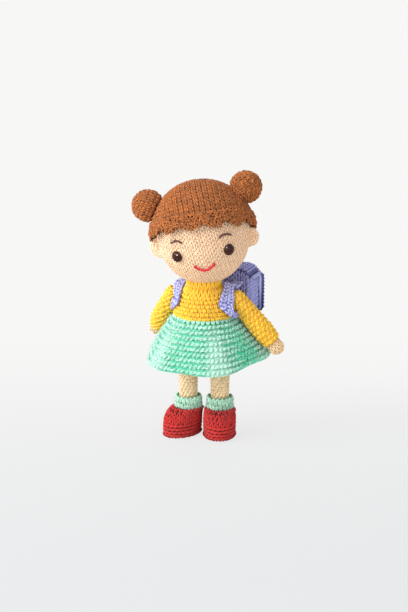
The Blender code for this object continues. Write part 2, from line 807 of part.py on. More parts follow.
def make_pouch():
    box = bmesh.new()
    bmesh.ops.create_cube(box, size=1.0)
    size = Vector((2.0 * PACK_HALF_WIDTH, PACK_BACK - PACK_FRONT, PACK_TOP - PACK_BOTTOM))
    bmesh.ops.scale(box, vec=size, verts=box.verts)
    middle = Vector((PACK_SHIFT, (PACK_FRONT + PACK_BACK) / 2.0, (PACK_BOTTOM + PACK_TOP) / 2.0))
    bmesh.ops.translate(box, vec=middle, verts=box.verts)
    top_back = [edge for edge in box.edges
                if all(vert.co.z > middle.z and vert.co.y > middle.y for vert in edge.verts)]
    bmesh.ops.bevel(box, geom=top_back, offset=FLAP_CORNER - FLAP_THICKNESS, segments=6,
                    offset_type="OFFSET", profile=0.5, affect="EDGES")
    box.normal_update()
    top = [face for face in box.faces if face.normal.z > 0.1]
    bmesh.ops.delete(box, geom=top, context="FACES")
    corners = [edge for edge in box.edges if not edge.is_boundary]
    bmesh.ops.bevel(box, geom=corners, offset=PACK_CORNER, offset_type="OFFSET", segments=4,
                    profile=0.5, affect="EDGES")
    mesh = bpy.data.meshes.new("backpack_pouch")
    box.to_mesh(mesh)
    box.free()
    pouch = add_object("backpack_pouch", mesh, "pack_yarn")
    thicken(pouch, PACK_WALL, outward=False)


def flap_side(lift):
    # Depth and height along the flap, from its hinge over the top and down the back.
    inner_back = PACK_BACK + GAP
    inner_top = PACK_TOP + GAP
    bend = FLAP_CORNER - FLAP_THICKNESS
    points = [(PACK_FRONT, inner_top + lift)]
    for step in range(CORNER_STEPS + 1):
        angle = math.pi / 2.0 * step / CORNER_STEPS
        points.append((inner_back - bend + (bend + lift) * math.sin(angle),
                       inner_top - bend + (bend + lift) * math.cos(angle)))
    points.append((inner_back + lift, PACK_BOTTOM + FLAP_LIFT))
    return points


def make_flap():
    hinge = new_empty("flap_pivot", Matrix.Translation((PACK_SHIFT, PACK_FRONT,
                                                        PACK_TOP + GAP)), FRAME)
    lowest = PACK_TOP + GAP
    outline = flap_side(FLAP_THICKNESS) + list(reversed(flap_side(0.0)))
    curve = bpy.data.curves.new("backpack_flap", "CURVE")
    curve.dimensions = "2D"
    curve.fill_mode = "BOTH"
    curve.extrude = PACK_HALF_WIDTH - GAP
    spline = curve.splines.new("POLY")
    spline.points.add(len(outline) - 1)
    for target, (depth, height) in zip(spline.points, outline):
        target.co = (depth - PACK_FRONT, height - lowest, 0.0, 1.0)
    spline.use_cyclic_u = True
    curve.materials.append(MATERIALS["pack_yarn"])
    flap = bpy.data.objects.new("backpack_flap", curve)
    DOLL.objects.link(flap)
    flap.parent = hinge
    flap.matrix_basis = Matrix(((0.0, 0.0, 1.0, 0.0), (1.0, 0.0, 0.0, 0.0),
                                (0.0, 1.0, 0.0, 0.0), (0.0, 0.0, 0.0, 1.0)))

    middle = flap_side(FLAP_THICKNESS / 2.0)
    rim = PACK_HALF_WIDTH + EDGING_RADIUS
    route = [(rim, depth - PACK_FRONT, height - lowest) for depth, height in middle]
    bottom_drop = EDGING_RADIUS + GAP
    low = route[-1][2] - bottom_drop
    back = route[-1][1]
    for step in range(CORNER_STEPS // 2 + 1):
        turn = math.pi / 2.0 * step / (CORNER_STEPS // 2)
        route.append((rim - bottom_drop * (1.0 - math.cos(turn)), back,
                      low - bottom_drop * math.sin(turn)))
    route += [(-across, depth, height) for across, depth, height in
              reversed(route[-CORNER_STEPS // 2 - 1:])]
    route += [(-rim, depth - PACK_FRONT, height - lowest) for depth, height in reversed(middle)]
    thread("flap_edging", route, EDGING_RADIUS, "edging_yarn", hinge)


def jumper_radius(height):
    outline = jumper_outline(0.0)
    for (upper, high), (lower, low) in zip(outline, outline[1:]):
        if low <= height <= high:
            return lower + (upper - lower) * (height - low) / (high - low)
    return outline[0][0] if height > outline[0][1] else outline[-1][0]


def ring_place(side, turn, radius, height):
    # A place round the body, the turn measured from the front towards the doll's side.
    return Vector((side * radius * math.sin(turn), -radius * math.cos(turn), height))


def strap_edges(side, chest_turn):
    # The strap's neck-side and arm-side edges, from the pack's top over the shoulder, down the
    # chest, under the arm and back to the pack's foot.
    lift = GAP + STRAP_THICKNESS / 2.0
    width = 2.0 * STRAP_HALF_WIDTH
    pivot = arm_pivot(side)
    ball = ARM_BALL_RADIUS + lift + TILT_MARGIN
    lane = side * (ARM_SPREAD - width)
    panel = PACK_FRONT - lift
    pack_lane = PACK_SHIFT + side * (PACK_HALF_WIDTH - width)
    stations = [(Vector((pack_lane - side * STRAP_HALF_WIDTH, panel, PACK_TOP - width)),
                 Vector((pack_lane + side * STRAP_HALF_WIDTH, panel, PACK_TOP - width)))]
    for degrees in (-42.0, -21.0, 0.0, 30.0):
        swing = math.radians(degrees)
        rise = pivot.z + ball * math.cos(swing)
        depth = ARM_BACK - ball * math.sin(swing)
        stations.append((Vector((lane, depth, rise + lift * 0.4)), Vector((pivot.x, depth, rise))))
    for rise_share, degrees in ((0.52, 62.0), (0.0, 92.0)):
        height = pivot.z + ball * rise_share + lift * 0.4
        body = jumper_radius(height) + 1.7 * lift
        swing = math.radians(degrees)
        stations.append((Vector((lane, -math.sqrt(max(body ** 2 - lane ** 2, ball ** 2)), height)),
                         Vector((pivot.x, ARM_BACK - ball * 1.02 * math.sin(swing),
                                 pivot.z + ball * math.cos(swing)))))
    chest = (pivot.z + WAIST_HEIGHT) / 2.0
    stations.append((ring_place(side, chest_turn, jumper_radius(chest) + 1.4 * lift, chest),
                     ring_place(side, chest_turn + STRAP_TURN_SPAN, WAIST_RADIUS + 1.6 * lift,
                                chest + lift)))
    upper_radius = WAIST_RADIUS + 0.9 * lift
    lower_radius = upper_radius + width * 0.37
    upper_height = WAIST_HEIGHT + 1.4 * lift
    lower_height = upper_height - width * 0.55
    for degrees in (72.0, 97.0, 122.0):
        turn = math.radians(degrees)
        stations.append((ring_place(side, turn, lower_radius, lower_height),
                         ring_place(side, turn, upper_radius, upper_height)))
    foot_lane = pack_lane + side * STRAP_HALF_WIDTH * 0.7
    stations.append((Vector((foot_lane, panel, PACK_BOTTOM + lift)),
                     Vector((foot_lane - side * lift, panel, PACK_BOTTOM + lift + width * 0.8))))
    return stations


def make_strap(side, label, chest_turn):
    stations = strap_edges(side, chest_turn)
    inner = smooth_path([pair[0] for pair in stations], STRAP_SAMPLES)
    outer = smooth_path([pair[1] for pair in stations], STRAP_SAMPLES)
    loops = []
    for index, (near, far) in enumerate(zip(inner, outer)):
        ahead = min(index + 1, len(inner) - 1)
        behind = max(index - 1, 0)
        along = (inner[ahead] + outer[ahead] - inner[behind] - outer[behind]).normalized()
        lift = along.cross(far - near).normalized() * STRAP_THICKNESS / 2.0
        loops.append([near + lift, near - lift, far - lift, far + lift])
    strap = ring_surface("strap_" + label, loops, "pack_yarn", floor=True)
    close_top(strap)


def stand_over_origin():
    # Moves the frame so that the origin lies under the middle of the whole doll.
    bpy.context.view_layer.update()
    scene_state = bpy.context.evaluated_depsgraph_get()
    corners = []
    for item in DOLL.objects:
        if item.type != "EMPTY":
            solid = item.evaluated_get(scene_state)
            corners += [solid.matrix_world @ vert.co for vert in solid.to_mesh().vertices]
            solid.to_mesh_clear()
    for axis in (0, 1):
        places = [corner[axis] for corner in corners]
        FRAME.location[axis] = -(min(places) + max(places)) / 2.0
    bpy.context.view_layer.update()


make_head()
make_torso()
make_skirt()
make_legs()
make_arm(-1.0, "right", ARM_OUT_RIGHT, ARM_SWEEP_RIGHT)
make_arm(1.0, "left", ARM_OUT_LEFT, ARM_SWEEP_LEFT)
make_pouch()
make_flap()
make_strap(-1.0, "right", STRAP_TURN_RIGHT)
make_strap(1.0, "left", STRAP_TURN_LEFT)
stand_over_origin()
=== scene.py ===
import math
import random

import bpy
import numpy as np
from mathutils import Matrix, Vector


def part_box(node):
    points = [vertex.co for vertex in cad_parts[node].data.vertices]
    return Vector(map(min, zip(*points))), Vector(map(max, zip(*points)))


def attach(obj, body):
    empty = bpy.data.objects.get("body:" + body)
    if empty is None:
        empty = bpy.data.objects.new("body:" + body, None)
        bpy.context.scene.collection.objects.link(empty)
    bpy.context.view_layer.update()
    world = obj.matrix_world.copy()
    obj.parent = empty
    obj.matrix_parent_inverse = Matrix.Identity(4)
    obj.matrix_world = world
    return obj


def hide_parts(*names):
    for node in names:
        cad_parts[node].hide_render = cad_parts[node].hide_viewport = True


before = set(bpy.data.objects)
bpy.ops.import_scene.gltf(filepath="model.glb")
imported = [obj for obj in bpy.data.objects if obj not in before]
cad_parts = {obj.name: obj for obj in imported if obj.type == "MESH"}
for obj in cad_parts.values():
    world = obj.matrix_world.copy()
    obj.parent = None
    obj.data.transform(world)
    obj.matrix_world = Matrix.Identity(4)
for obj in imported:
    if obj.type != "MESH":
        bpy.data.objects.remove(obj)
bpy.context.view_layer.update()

# The crocheted doll's yarn, stitches and stuffed forms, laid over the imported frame.
# Lengths are in millimetres in the pattern's own frames, and each frame turns them into metres.
# Her right is on the photo's left. A turn is counted round an axis from the doll's front.

MM = 0.001
FABRIC = 1.6
BACKING_DEPTH = 1.15
GAP = 0.3

HEAD_HEIGHT = 106.0
HEAD_TURN = math.radians(18.0)
HEAD_ROLL = math.radians(8.5)
HEAD_RADIUS = 23.4
SKULL_RADIUS = 24.0
SKULL_RISE = 3.4

ROD_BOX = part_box("neck_rod")
AXIS = (ROD_BOX[0] + ROD_BOX[1]) / 2.0
BODY = Matrix.Translation((AXIS.x, AXIS.y, 0.0)) @ Matrix.Scale(MM, 4)
HEAD = (BODY @ Matrix.Translation((0.0, 0.0, HEAD_HEIGHT))
        @ Matrix.Rotation(HEAD_TURN, 4, "Z") @ Matrix.Rotation(-HEAD_ROLL, 4, "Y"))


def aim(point, direction):
    """A frame at the point whose Z axis runs along the direction."""
    turn = Vector(direction).normalized().to_track_quat("Z", "Y")
    return Matrix.Translation(point) @ turn.to_matrix().to_4x4()


def new_object(name, data):
    item = bpy.data.objects.new(name, data)
    bpy.context.scene.collection.objects.link(item)
    return item


def put_on(piece, ride, *nodes):
    """Rides a piece on its body, and hides the CAD nodes that it stands for."""
    body, slot = ride
    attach(piece, body)
    if nodes:
        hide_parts(*nodes)


# Curves and surfaces. A surface gives a point for a turn and for a share, which runs from 0 at
# its start to 1 at its end. Its length is the way from one to the other.

def smooth_path(points, samples):
    """A smooth curve through the points, of any dimension, with that many steps."""
    points = [np.array(p, float) for p in points]
    padded = [points[0]] + points + [points[-1]]
    pieces = len(points) - 1
    result = []
    for sample in range(samples + 1):
        place = min(sample / samples * pieces, pieces - 1e-6)
        index = int(place)
        t = place - index
        before, start, end, after = padded[index:index + 4]
        result.append(0.5 * (2.0 * start + (end - before) * t
                             + (2.0 * before - 5.0 * start + 4.0 * end - after) * t * t
                             + (3.0 * start - before - 3.0 * end + after) * t ** 3))
    return result


def arc(centre_height, radius, start, end, steps):
    """Radius and height round an arc, its angles measured from the top."""
    angles = np.linspace(start, end, steps + 1)
    return [(radius * math.sin(a), centre_height + radius * math.cos(a)) for a in angles]


def run_lengths(points):
    """How far along a line each of its points lies."""
    line = np.array([tuple(p) for p in points], float)
    return np.concatenate([[0.0], np.cumsum(np.linalg.norm(np.diff(line, axis=0), axis=1))])


def point_along(points, share):
    """The point of a line at a share of its length."""
    line = np.array([tuple(p) for p in points], float)
    lengths = run_lengths(line)
    return [float(np.interp(share * lengths[-1], lengths, column)) for column in line.T]


def even_turns(steps):
    return [2.0 * math.pi * k / steps for k in range(steps)]


def round_point(turn, radius, height):
    return Vector((radius * math.sin(turn), -radius * math.cos(turn), height))


def round_loop(radius, height, steps=64):
    return [round_point(turn, radius, height) for turn in even_turns(steps)]


def turned_surface(profile):
    """The surface of a profile of (radius, height) points turned about the vertical axis."""
    line = np.array(profile, float)
    lengths = run_lengths(profile)
    shares = lengths / lengths[-1]

    def surface(turn, share):
        return round_point(turn, np.interp(share, shares, line[:, 0]),
                           np.interp(share, shares, line[:, 1]))

    surface.length = float(lengths[-1])
    return surface


SLIGHT = 0.004


def surface_ways(surface, turn, share, low, high):
    """The surface's directions across and outward, with its rise taken from low to high."""
    across = surface(turn + SLIGHT, share) - surface(turn - SLIGHT, share)
    outward = across.cross(surface(turn, low) - surface(turn, high)).normalized()
    return across.normalized(), outward


# Yarn shapes

def tube(points, radii, sides):
    """Vertices, faces, and for each vertex its turn and its distance along, of a closed tube."""
    points = [Vector(p) for p in points]
    verts, along, faces = [], [], []
    distance = 0.0
    side = Vector((0.0, 0.0, 1.0))
    for index, point in enumerate(points):
        ahead = points[min(index + 1, len(points) - 1)]
        behind = points[max(index - 1, 0)]
        tangent = (ahead - behind).normalized()
        side = (side - tangent * side.dot(tangent))
        if side.length < 1e-6:
            side = tangent.orthogonal()
        side.normalize()
        other = tangent.cross(side)
        if index:
            distance += (point - points[index - 1]).length
        for k, angle in enumerate(even_turns(sides)):
            verts.append(point + (side * math.cos(angle) + other * math.sin(angle))
                         * radii[index])
            along.append((k / sides, distance))
    for row in range(len(points) - 1):
        for k in range(sides):
            n = (k + 1) % sides
            faces.append((row * sides + k, row * sides + n,
                          (row + 1) * sides + n, (row + 1) * sides + k))
    faces.append(tuple(reversed(range(sides))))
    faces.append(tuple(range((len(points) - 1) * sides, len(points) * sides)))
    return verts, faces, along


def yarn_mesh(name, tubes):
    """A mesh of tubes, with the yarn's own UV map and how far each point stands proud."""
    verts, faces, along = [], [], []
    for tube_verts, tube_faces, tube_along in tubes:
        offset = len(verts)
        verts += tube_verts
        along += tube_along
        faces += [tuple(offset + v for v in face) for face in tube_faces]
    mesh = bpy.data.meshes.new(name)
    mesh.from_pydata([tuple(v) for v in verts], [], faces)
    heights = np.array([v[2] for v in verts])
    low, high = heights.min(), heights.max()
    # The crown says how proud each point stands; the yarn material paints shade where it is low and
    # a highlight where it is high.
    crown = mesh.attributes.new("crown", "FLOAT", "POINT")
    crown.data.foreach_set("value", (heights - low) / max(high - low, 1e-9))
    add_yarn_uv(mesh, along)
    mesh.shade_smooth()
    return mesh


def add_yarn_uv(mesh, along):
    """A UV map that runs round the yarn and along it, and closes where the turn starts again."""
    layer = mesh.uv_layers.new(name="yarn")
    for polygon in mesh.polygons:
        turns = [along[mesh.loops[i].vertex_index][0] for i in polygon.loop_indices]
        for i in polygon.loop_indices:
            u, v = along[mesh.loops[i].vertex_index]
            if u == 0.0 and max(turns) > 0.6:
                u = 1.0
            layer.data[i].uv = (u, v)


def yarn_cord(name, ride, route, radius, piece_frame, yarn, *nodes):
    """A plain round cord along the route."""
    mesh = yarn_mesh(name, [tube(route, [radius] * len(route), 10)])
    mesh.transform(piece_frame)
    mesh.materials.append(yarn)
    put_on(new_object(name, mesh), ride, *nodes)


def stitch_shape(name, strands, mirrored=False, steps=5, sides=6):
    """A stitch's shape as an object, from strands of (across, up, out, yarn radius) points."""
    tubes = []
    for strand in strands:
        for flip in ((1.0, -1.0) if mirrored else (1.0,)):
            path = [(flip * x, y, z, r) for x, y, z, r in strand]
            if steps:
                path = smooth_path(path, steps)
            tubes.append(tube([p[:3] for p in path], [p[3] for p in path], sides))
    return new_object(name, yarn_mesh(name, tubes))


# Each stitch shape's own width and height
STITCH_SIZES = {"vee": (3.0, 3.0), "bead": (3.0, 2.4), "close_bead": (2.7, 2.3),
                "cord": (2.7, 1.9), "rope": (3.0, 2.0), "knot": (3.0, 2.4),
                "dash": (3.5, 2.1)}


def make_shapes():
    """Every stitch shape that the doll is worked in."""
    vee_leg = [(-0.10, -2.0, -1.35, 0.42), (-0.42, -1.0, -0.75, 0.60),
               (-0.83, 0.1, -0.62, 0.68), (-1.0, 1.1, -0.78, 0.62), (-0.75, 1.8, -1.4, 0.42)]
    rope_leg = [(-0.15, -1.25, -1.3, 0.40), (-0.55, -0.4, -0.62, 0.56),
                (-0.98, 0.35, -0.55, 0.62), (-1.45, 1.0, -1.1, 0.42)]
    knot_front = [(-1.35, -1.0, -1.3, 0.50), (-0.6, -0.35, -0.62, 0.72),
                  (0.4, 0.35, -0.55, 0.78), (1.35, 1.0, -1.3, 0.50)]
    knot_back = [(1.25, -1.1, -1.4, 0.42), (0.75, -0.3, -0.85, 0.60),
                 (-0.5, 0.55, -0.9, 0.62), (-1.2, 1.1, -1.4, 0.42)]
    bead_leg = [(-0.15, -1.45, -1.4, 0.40), (-0.44, -0.75, -0.78, 0.66),
                (-0.66, 0.1, -0.56, 0.76), (-0.60, 0.75, -0.78, 0.68), (-0.30, 1.2, -1.5, 0.40)]
    cord = [(-1.75, -0.22, -1.15, 0.42), (-0.9, -0.16, -0.70, 0.66), (0.0, 0.0, -0.52, 0.74),
            (0.9, 0.16, -0.70, 0.66), (1.75, 0.22, -1.15, 0.42)]
    dash = [(-1.6, -0.35, -1.2, 0.40), (-0.8, -0.22, -0.72, 0.62), (0.0, 0.05, -0.56, 0.70),
            (0.8, 0.22, -0.72, 0.62), (1.6, 0.3, -1.2, 0.40)]
    curl = [(1.05 * math.cos(angle), 1.05 * math.sin(angle),
             -0.9 + 0.75 * math.sin(angle * 0.5 + 0.5), 0.56)
            for angle in np.linspace(math.radians(-60.0), math.radians(250.0), 6)]
    speck = [(-0.6, 0.0, -0.15, 0.10), (-0.25, 0.08, 0.12, 0.26), (0.25, -0.08, 0.12, 0.26),
             (0.6, 0.0, -0.15, 0.10)]
    fibre = [(0.0, 0.0, 0.0, 0.035), (0.05, 0.02, 0.35, 0.03), (0.22, 0.05, 0.7, 0.02),
             (0.5, 0.02, 0.9, 0.006)]
    return {
        "vee": stitch_shape("vee_stitch", [vee_leg], mirrored=True),
        "rope": stitch_shape("rope_stitch", [rope_leg], mirrored=True),
        "knot": stitch_shape("knot_stitch", [knot_front, knot_back]),
        "bead": stitch_shape("bead_stitch", [bead_leg], mirrored=True),
        "close_bead": stitch_shape("close_bead_stitch", [bead_leg], mirrored=True),
        "cord": stitch_shape("cord_stitch", [cord]),
        "dash": stitch_shape("dash_stitch", [dash]),
        "curl": stitch_shape("curl_stitch", [curl]),
        "speck": stitch_shape("light_speck", [speck], steps=0, sides=3),
        "fibre": stitch_shape("loose_fibre", [fibre], steps=0, sides=3),
    }


# Nodes

def set_inputs(tree, node, inputs):
    """Links a node's inputs to sockets, or sets them to values."""
    for key, value in inputs.items():
        if isinstance(value, bpy.types.NodeSocket):
            tree.links.new(value, node.inputs[key])
        else:
            node.inputs[key].default_value = value


def add_node(tree, kind, inputs=None, **settings):
    """A node with its settings and its inputs."""
    node = tree.nodes.new(kind)
    for label, value in settings.items():
        setattr(node, label, value)
    set_inputs(tree, node, inputs or {})
    return node


def maths(tree, operation, *values):
    node = add_node(tree, "ShaderNodeMath", dict(enumerate(values)), operation=operation)
    return node.outputs[0]


# Geometry Nodes trees

def new_tree(name, inputs):
    """A Geometry Nodes tree with the named inputs, and its input node's sockets."""
    tree = bpy.data.node_groups.new(name, "GeometryNodeTree")
    for label, kind in [("Geometry", "Geometry")] + inputs + [("Seed", "Int"),
                                                              ("Yarn", "Material")]:
        tree.interface.new_socket(label, in_out="INPUT", socket_type="NodeSocket" + kind)
    tree.interface.new_socket("Geometry", in_out="OUTPUT", socket_type="NodeSocketGeometry")
    return tree, tree.nodes.new("NodeGroupInput").outputs


def named_vector(tree, label):
    node = add_node(tree, "GeometryNodeInputNamedAttribute", {"Name": label},
                    data_type="FLOAT_VECTOR")
    return node.outputs["Attribute"]


def finish_tree(tree, instances, amount, start):
    """Turns each instance at random up to the amount, gives it a shade of its own, and puts
    them all out as one mesh in the yarn."""
    ends = [add_node(tree, "ShaderNodeVectorMath", {0: (way, way, way), "Scale": amount},
                     operation="SCALE").outputs["Vector"] for way in (-1.0, 1.0)]
    turn = add_node(tree, "FunctionNodeRandomValue",
                    {"Min": ends[0], "Max": ends[1], "Seed": start["Seed"]},
                    data_type="FLOAT_VECTOR")
    turned = add_node(tree, "GeometryNodeRotateInstances",
                      {"Instances": instances, "Rotation": turn.outputs["Value"]})
    shade = add_node(tree, "FunctionNodeRandomValue", data_type="FLOAT")
    set_inputs(tree, shade, {2: -1.0, 3: 1.0})
    shaded = add_node(tree, "GeometryNodeStoreNamedAttribute", data_type="FLOAT",
                      domain="INSTANCE")
    set_inputs(tree, shaded, {"Geometry": turned.outputs["Instances"], "Name": "shade",
                              "Value": shade.outputs[1]})
    real = add_node(tree, "GeometryNodeRealizeInstances",
                    {"Geometry": shaded.outputs["Geometry"]})
    finished = add_node(tree, "GeometryNodeSetMaterial",
                        {"Geometry": real.outputs["Geometry"], "Material": start["Yarn"]})
    add_node(tree, "NodeGroupOutput", {"Geometry": finished.outputs["Geometry"]})
    return tree


def stitch_tree():
    """Lays one stitch shape on every point, turned and stretched as the point says."""
    tree, start = new_tree("lay_stitches", [("Stitch Shape", "Object"), ("Size", "Float"),
                                            ("Looseness", "Float")])
    shape = add_node(tree, "GeometryNodeObjectInfo", {"Object": start["Stitch Shape"]})
    lie = add_node(tree, "FunctionNodeEulerToRotation", {"Euler": named_vector(tree, "lie")})
    fit = add_node(tree, "ShaderNodeVectorMath", {0: named_vector(tree, "fit"),
                                                  "Scale": start["Size"]}, operation="SCALE")
    lay = add_node(tree, "GeometryNodeInstanceOnPoints", {
        "Points": start["Geometry"], "Instance": shape.outputs["Geometry"],
        "Rotation": lie.outputs["Rotation"], "Scale": fit.outputs["Vector"]})
    return finish_tree(tree, lay.outputs["Instances"], start["Looseness"], start)


def fuzz_tree():
    """Grows loose fibres out of a yarn surface."""
    tree, start = new_tree("grow_fuzz", [("Fibre Shape", "Object"),
                                         ("Fibres per Square Metre", "Float"),
                                         ("Length", "Float"), ("Lean", "Float")])
    spread = add_node(tree, "GeometryNodeDistributePointsOnFaces", {
        "Mesh": start["Geometry"], "Density": start["Fibres per Square Metre"],
        "Seed": start["Seed"]})
    shape = add_node(tree, "GeometryNodeObjectInfo", {"Object": start["Fibre Shape"]})
    grow = add_node(tree, "GeometryNodeInstanceOnPoints", {
        "Points": spread.outputs["Points"], "Instance": shape.outputs["Geometry"],
        "Rotation": spread.outputs["Rotation"], "Scale": start["Length"]})
    return finish_tree(tree, grow.outputs["Instances"], start["Lean"], start)


def run_tree(name, ride, tree, mesh, values):
    """A plain mesh piece of what the tree makes from the mesh."""
    item = new_object(name, mesh)
    modifier = item.modifiers.new(tree.name, "NODES")
    modifier.node_group = tree
    for socket in tree.interface.items_tree:
        if socket.in_out == "INPUT" and socket.name in values:
            modifier[socket.identifier] = values[socket.name]
    graph = bpy.context.evaluated_depsgraph_get()
    made = bpy.data.meshes.new_from_object(item.evaluated_get(graph), depsgraph=graph,
                                           preserve_all_data_layers=True)
    item.modifiers.clear()
    item.data = made
    made.name = name
    made.shade_smooth()
    put_on(item, ride)
    return item


# Laying stitches

def stitch_at(piece_frame, point, ways, size):
    """One stitch's point and turn in the row frame, and its size. Ways are its own
    directions across, up and out."""
    turned = piece_frame.to_quaternion().to_matrix() @ Matrix(ways).transposed()
    return piece_frame @ point, turned.to_euler(), size


def lay_stitches(name, ride, places, stitch, yarn, loose=4.0, seed=1):
    """Stitches of one shape at the places, as one piece, each loose by some degrees."""
    mesh = bpy.data.meshes.new(name + "_places")
    mesh.from_pydata([place[0] for place in places], [], [])
    for label, index in (("lie", 1), ("fit", 2)):
        attribute = mesh.attributes.new(label, "FLOAT_VECTOR", "POINT")
        values = np.array([tuple(place[index]) for place in places], np.float32)
        attribute.data.foreach_set("vector", values.ravel())
    return run_tree(name, ride, STITCH_TREE, mesh, {
        "Stitch Shape": SHAPES[stitch], "Size": MM, "Looseness": math.radians(loose),
        "Seed": seed, "Yarn": yarn})


def grow_fuzz(name, ride, stitches, yarn, per_mm2, length, seed=7, shape="fibre"):
    """Loose fibres standing off the stitches, as one piece."""
    return run_tree(name, ride, FUZZ_TREE, stitches.data.copy(), {
        "Fibre Shape": SHAPES[shape], "Fibres per Square Metre": per_mm2 / MM ** 2,
        "Length": length * MM, "Lean": math.radians(55.0), "Seed": seed, "Yarn": yarn})


def ring_turns(surface, share, width, shift):
    """Turns that space stitches evenly round one round, and the width each one gets."""
    turns = np.linspace(0.0, 2.0 * math.pi, 97)
    lengths = run_lengths([surface(turn, share) for turn in turns])
    count = max(4, round(lengths[-1] / width))
    places = [((index + shift) % count) / count * lengths[-1] for index in range(count)]
    return [float(np.interp(p, lengths, turns)) for p in places], lengths[-1] / count


def even_rounds(surface, apart, start, end):
    """Shares of rounds that lie evenly apart, from start to end."""
    count = max(1, round((end - start) * surface.length / apart))
    return [start + (end - start) * (index + 0.5) / count for index in range(count)]


def work(name, ride, surface, rounds, piece_frame, yarn, stitch, height, width, shift=0.0,
         keep=None, depth=1.0, loose=4.0):
    """Rounds of one stitch on a surface, as one piece. Each stitch is stretched to its height
    and to an even share of its round, about its width. Shift moves each round on by that
    part of a stitch, and keep says where there are stitches."""
    own_width, own_height = STITCH_SIZES[stitch]
    places = []
    for index, share in enumerate(rounds):
        turns, space = ring_turns(surface, share, width, shift * index)
        size = (space / own_width, height / own_height, depth)
        for turn in turns:
            if keep is None or keep(turn, share):
                across, outward = surface_ways(surface, turn, share, share - SLIGHT,
                                               share + SLIGHT)
                ways = (across, outward.cross(across), outward)
                places.append(stitch_at(piece_frame, surface(turn, share), ways, size))
    return lay_stitches(name, ride, places, stitch, yarn, loose)


# Backings: the stuffed and lined forms under the stitches. They take the yarn's painted shade
# colour, which shows as shade in the gaps between stitches.

def loft(name, loops, piece_frame, yarn, top=None, bottom=None, ring=False):
    """A skin through loops of points, from the top down. Top and bottom are poles that close
    it, and ring joins the last loop to the first."""
    verts = [piece_frame @ Vector(p) for loop in loops for p in loop]
    count = len(loops[0])
    faces = []
    pairs = [(row, row + 1) for row in range(len(loops) - 1)]
    if ring:
        pairs.append((len(loops) - 1, 0))
    for upper, lower in pairs:
        for k in range(count):
            n = (k + 1) % count
            faces.append((upper * count + k, lower * count + k,
                          lower * count + n, upper * count + n))
    if top is not None:
        verts.append(piece_frame @ Vector(top))
        faces += [(len(verts) - 1, k, (k + 1) % count) for k in range(count)]
    if bottom is not None:
        verts.append(piece_frame @ Vector(bottom))
        low = (len(loops) - 1) * count
        faces += [(len(verts) - 1, low + (k + 1) % count, low + k) for k in range(count)]
    mesh = bpy.data.meshes.new(name)
    mesh.from_pydata([tuple(v) for v in verts], [], faces)
    # With no crown attribute, the skin shows its yarn's painted shade colour all over.
    mesh.materials.append(yarn)
    mesh.shade_smooth()
    return new_object(name, mesh)


def inset_loops(surface, shares, depth, steps=64):
    """Loops of the surface, sunk by the depth along its own outward direction."""
    loops = []
    for share in shares:
        low, high = max(share - SLIGHT, 0.0), min(share + SLIGHT, 1.0)
        loops.append([surface(turn, share) - surface_ways(surface, turn, share, low, high)[1] * depth
                      for turn in even_turns(steps)])
    return loops


def middle_of(loop):
    return sum((Vector(p) for p in loop), Vector()) / len(loop)


def stuff(name, ride, surface, piece_frame, yarn, nodes, depth=BACKING_DEPTH, rows=24,
          start=0.0, end=1.0):
    """A closed stuffed form under a surface of stitches, for the CAD nodes of its skin and
    its stuffing."""
    shares = [start + (end - start) * row / rows for row in range(rows + 1)]
    loops = inset_loops(surface, shares, depth)
    backing = loft(name, loops, piece_frame, yarn, middle_of(loops[0]), middle_of(loops[-1]))
    put_on(backing, ride, *nodes)


# Materials

def srgb(red, green, blue):
    """A colour as it shows on screen, from 0 to 255, as the shader's own numbers."""
    def part(value):
        value /= 255.0
        return value / 12.92 if value <= 0.04045 else ((value + 0.055) / 1.055) ** 2.4
    return (part(red), part(green), part(blue), 1.0)


def fade(tree, value, start, end, low=0.0, high=1.0, curve="SMOOTHSTEP"):
    """From low to high while the value goes from start to end."""
    node = add_node(tree, "ShaderNodeMapRange", {
        "Value": value, "From Min": start, "From Max": end, "To Min": low, "To Max": high},
        interpolation_type=curve)
    return node.outputs["Result"]


def mix_colours(tree, factor, first, second, mode="MIX"):
    node = add_node(tree, "ShaderNodeMix", data_type="RGBA", blend_type=mode)
    set_inputs(tree, node, {0: factor, 6: first, 7: second})
    return node.outputs[2]


def own_place(tree):
    return add_node(tree, "ShaderNodeTexCoord").outputs["Object"]


def grain(tree, scale, detail=2.0):
    """Noise that is fixed to the piece."""
    node = add_node(tree, "ShaderNodeTexNoise", {"Vector": own_place(tree), "Scale": scale,
                                                 "Detail": detail})
    return node.outputs["Fac"]


def two_tones(tree, factor, low, high, start=0.0, end=1.0):
    node = add_node(tree, "ShaderNodeValToRGB", {"Fac": factor})
    for element, place, colour in zip(node.color_ramp.elements, (start, end), (low, high)):
        element.position = place
        element.color = colour
    return node.outputs["Color"]


def relief(tree, height, strength, distance):
    node = add_node(tree, "ShaderNodeBump", {"Height": height, "Strength": strength,
                                             "Distance": distance})
    return node.outputs["Normal"]


def new_material(name):
    """A material, its tree and its shader."""
    material = bpy.data.materials.new(name)
    material.use_nodes = True
    return material, material.node_tree, material.node_tree.nodes["Principled BSDF"]


STRAND_GRAIN = 3600.0
PATCH_GRAIN = 420.0


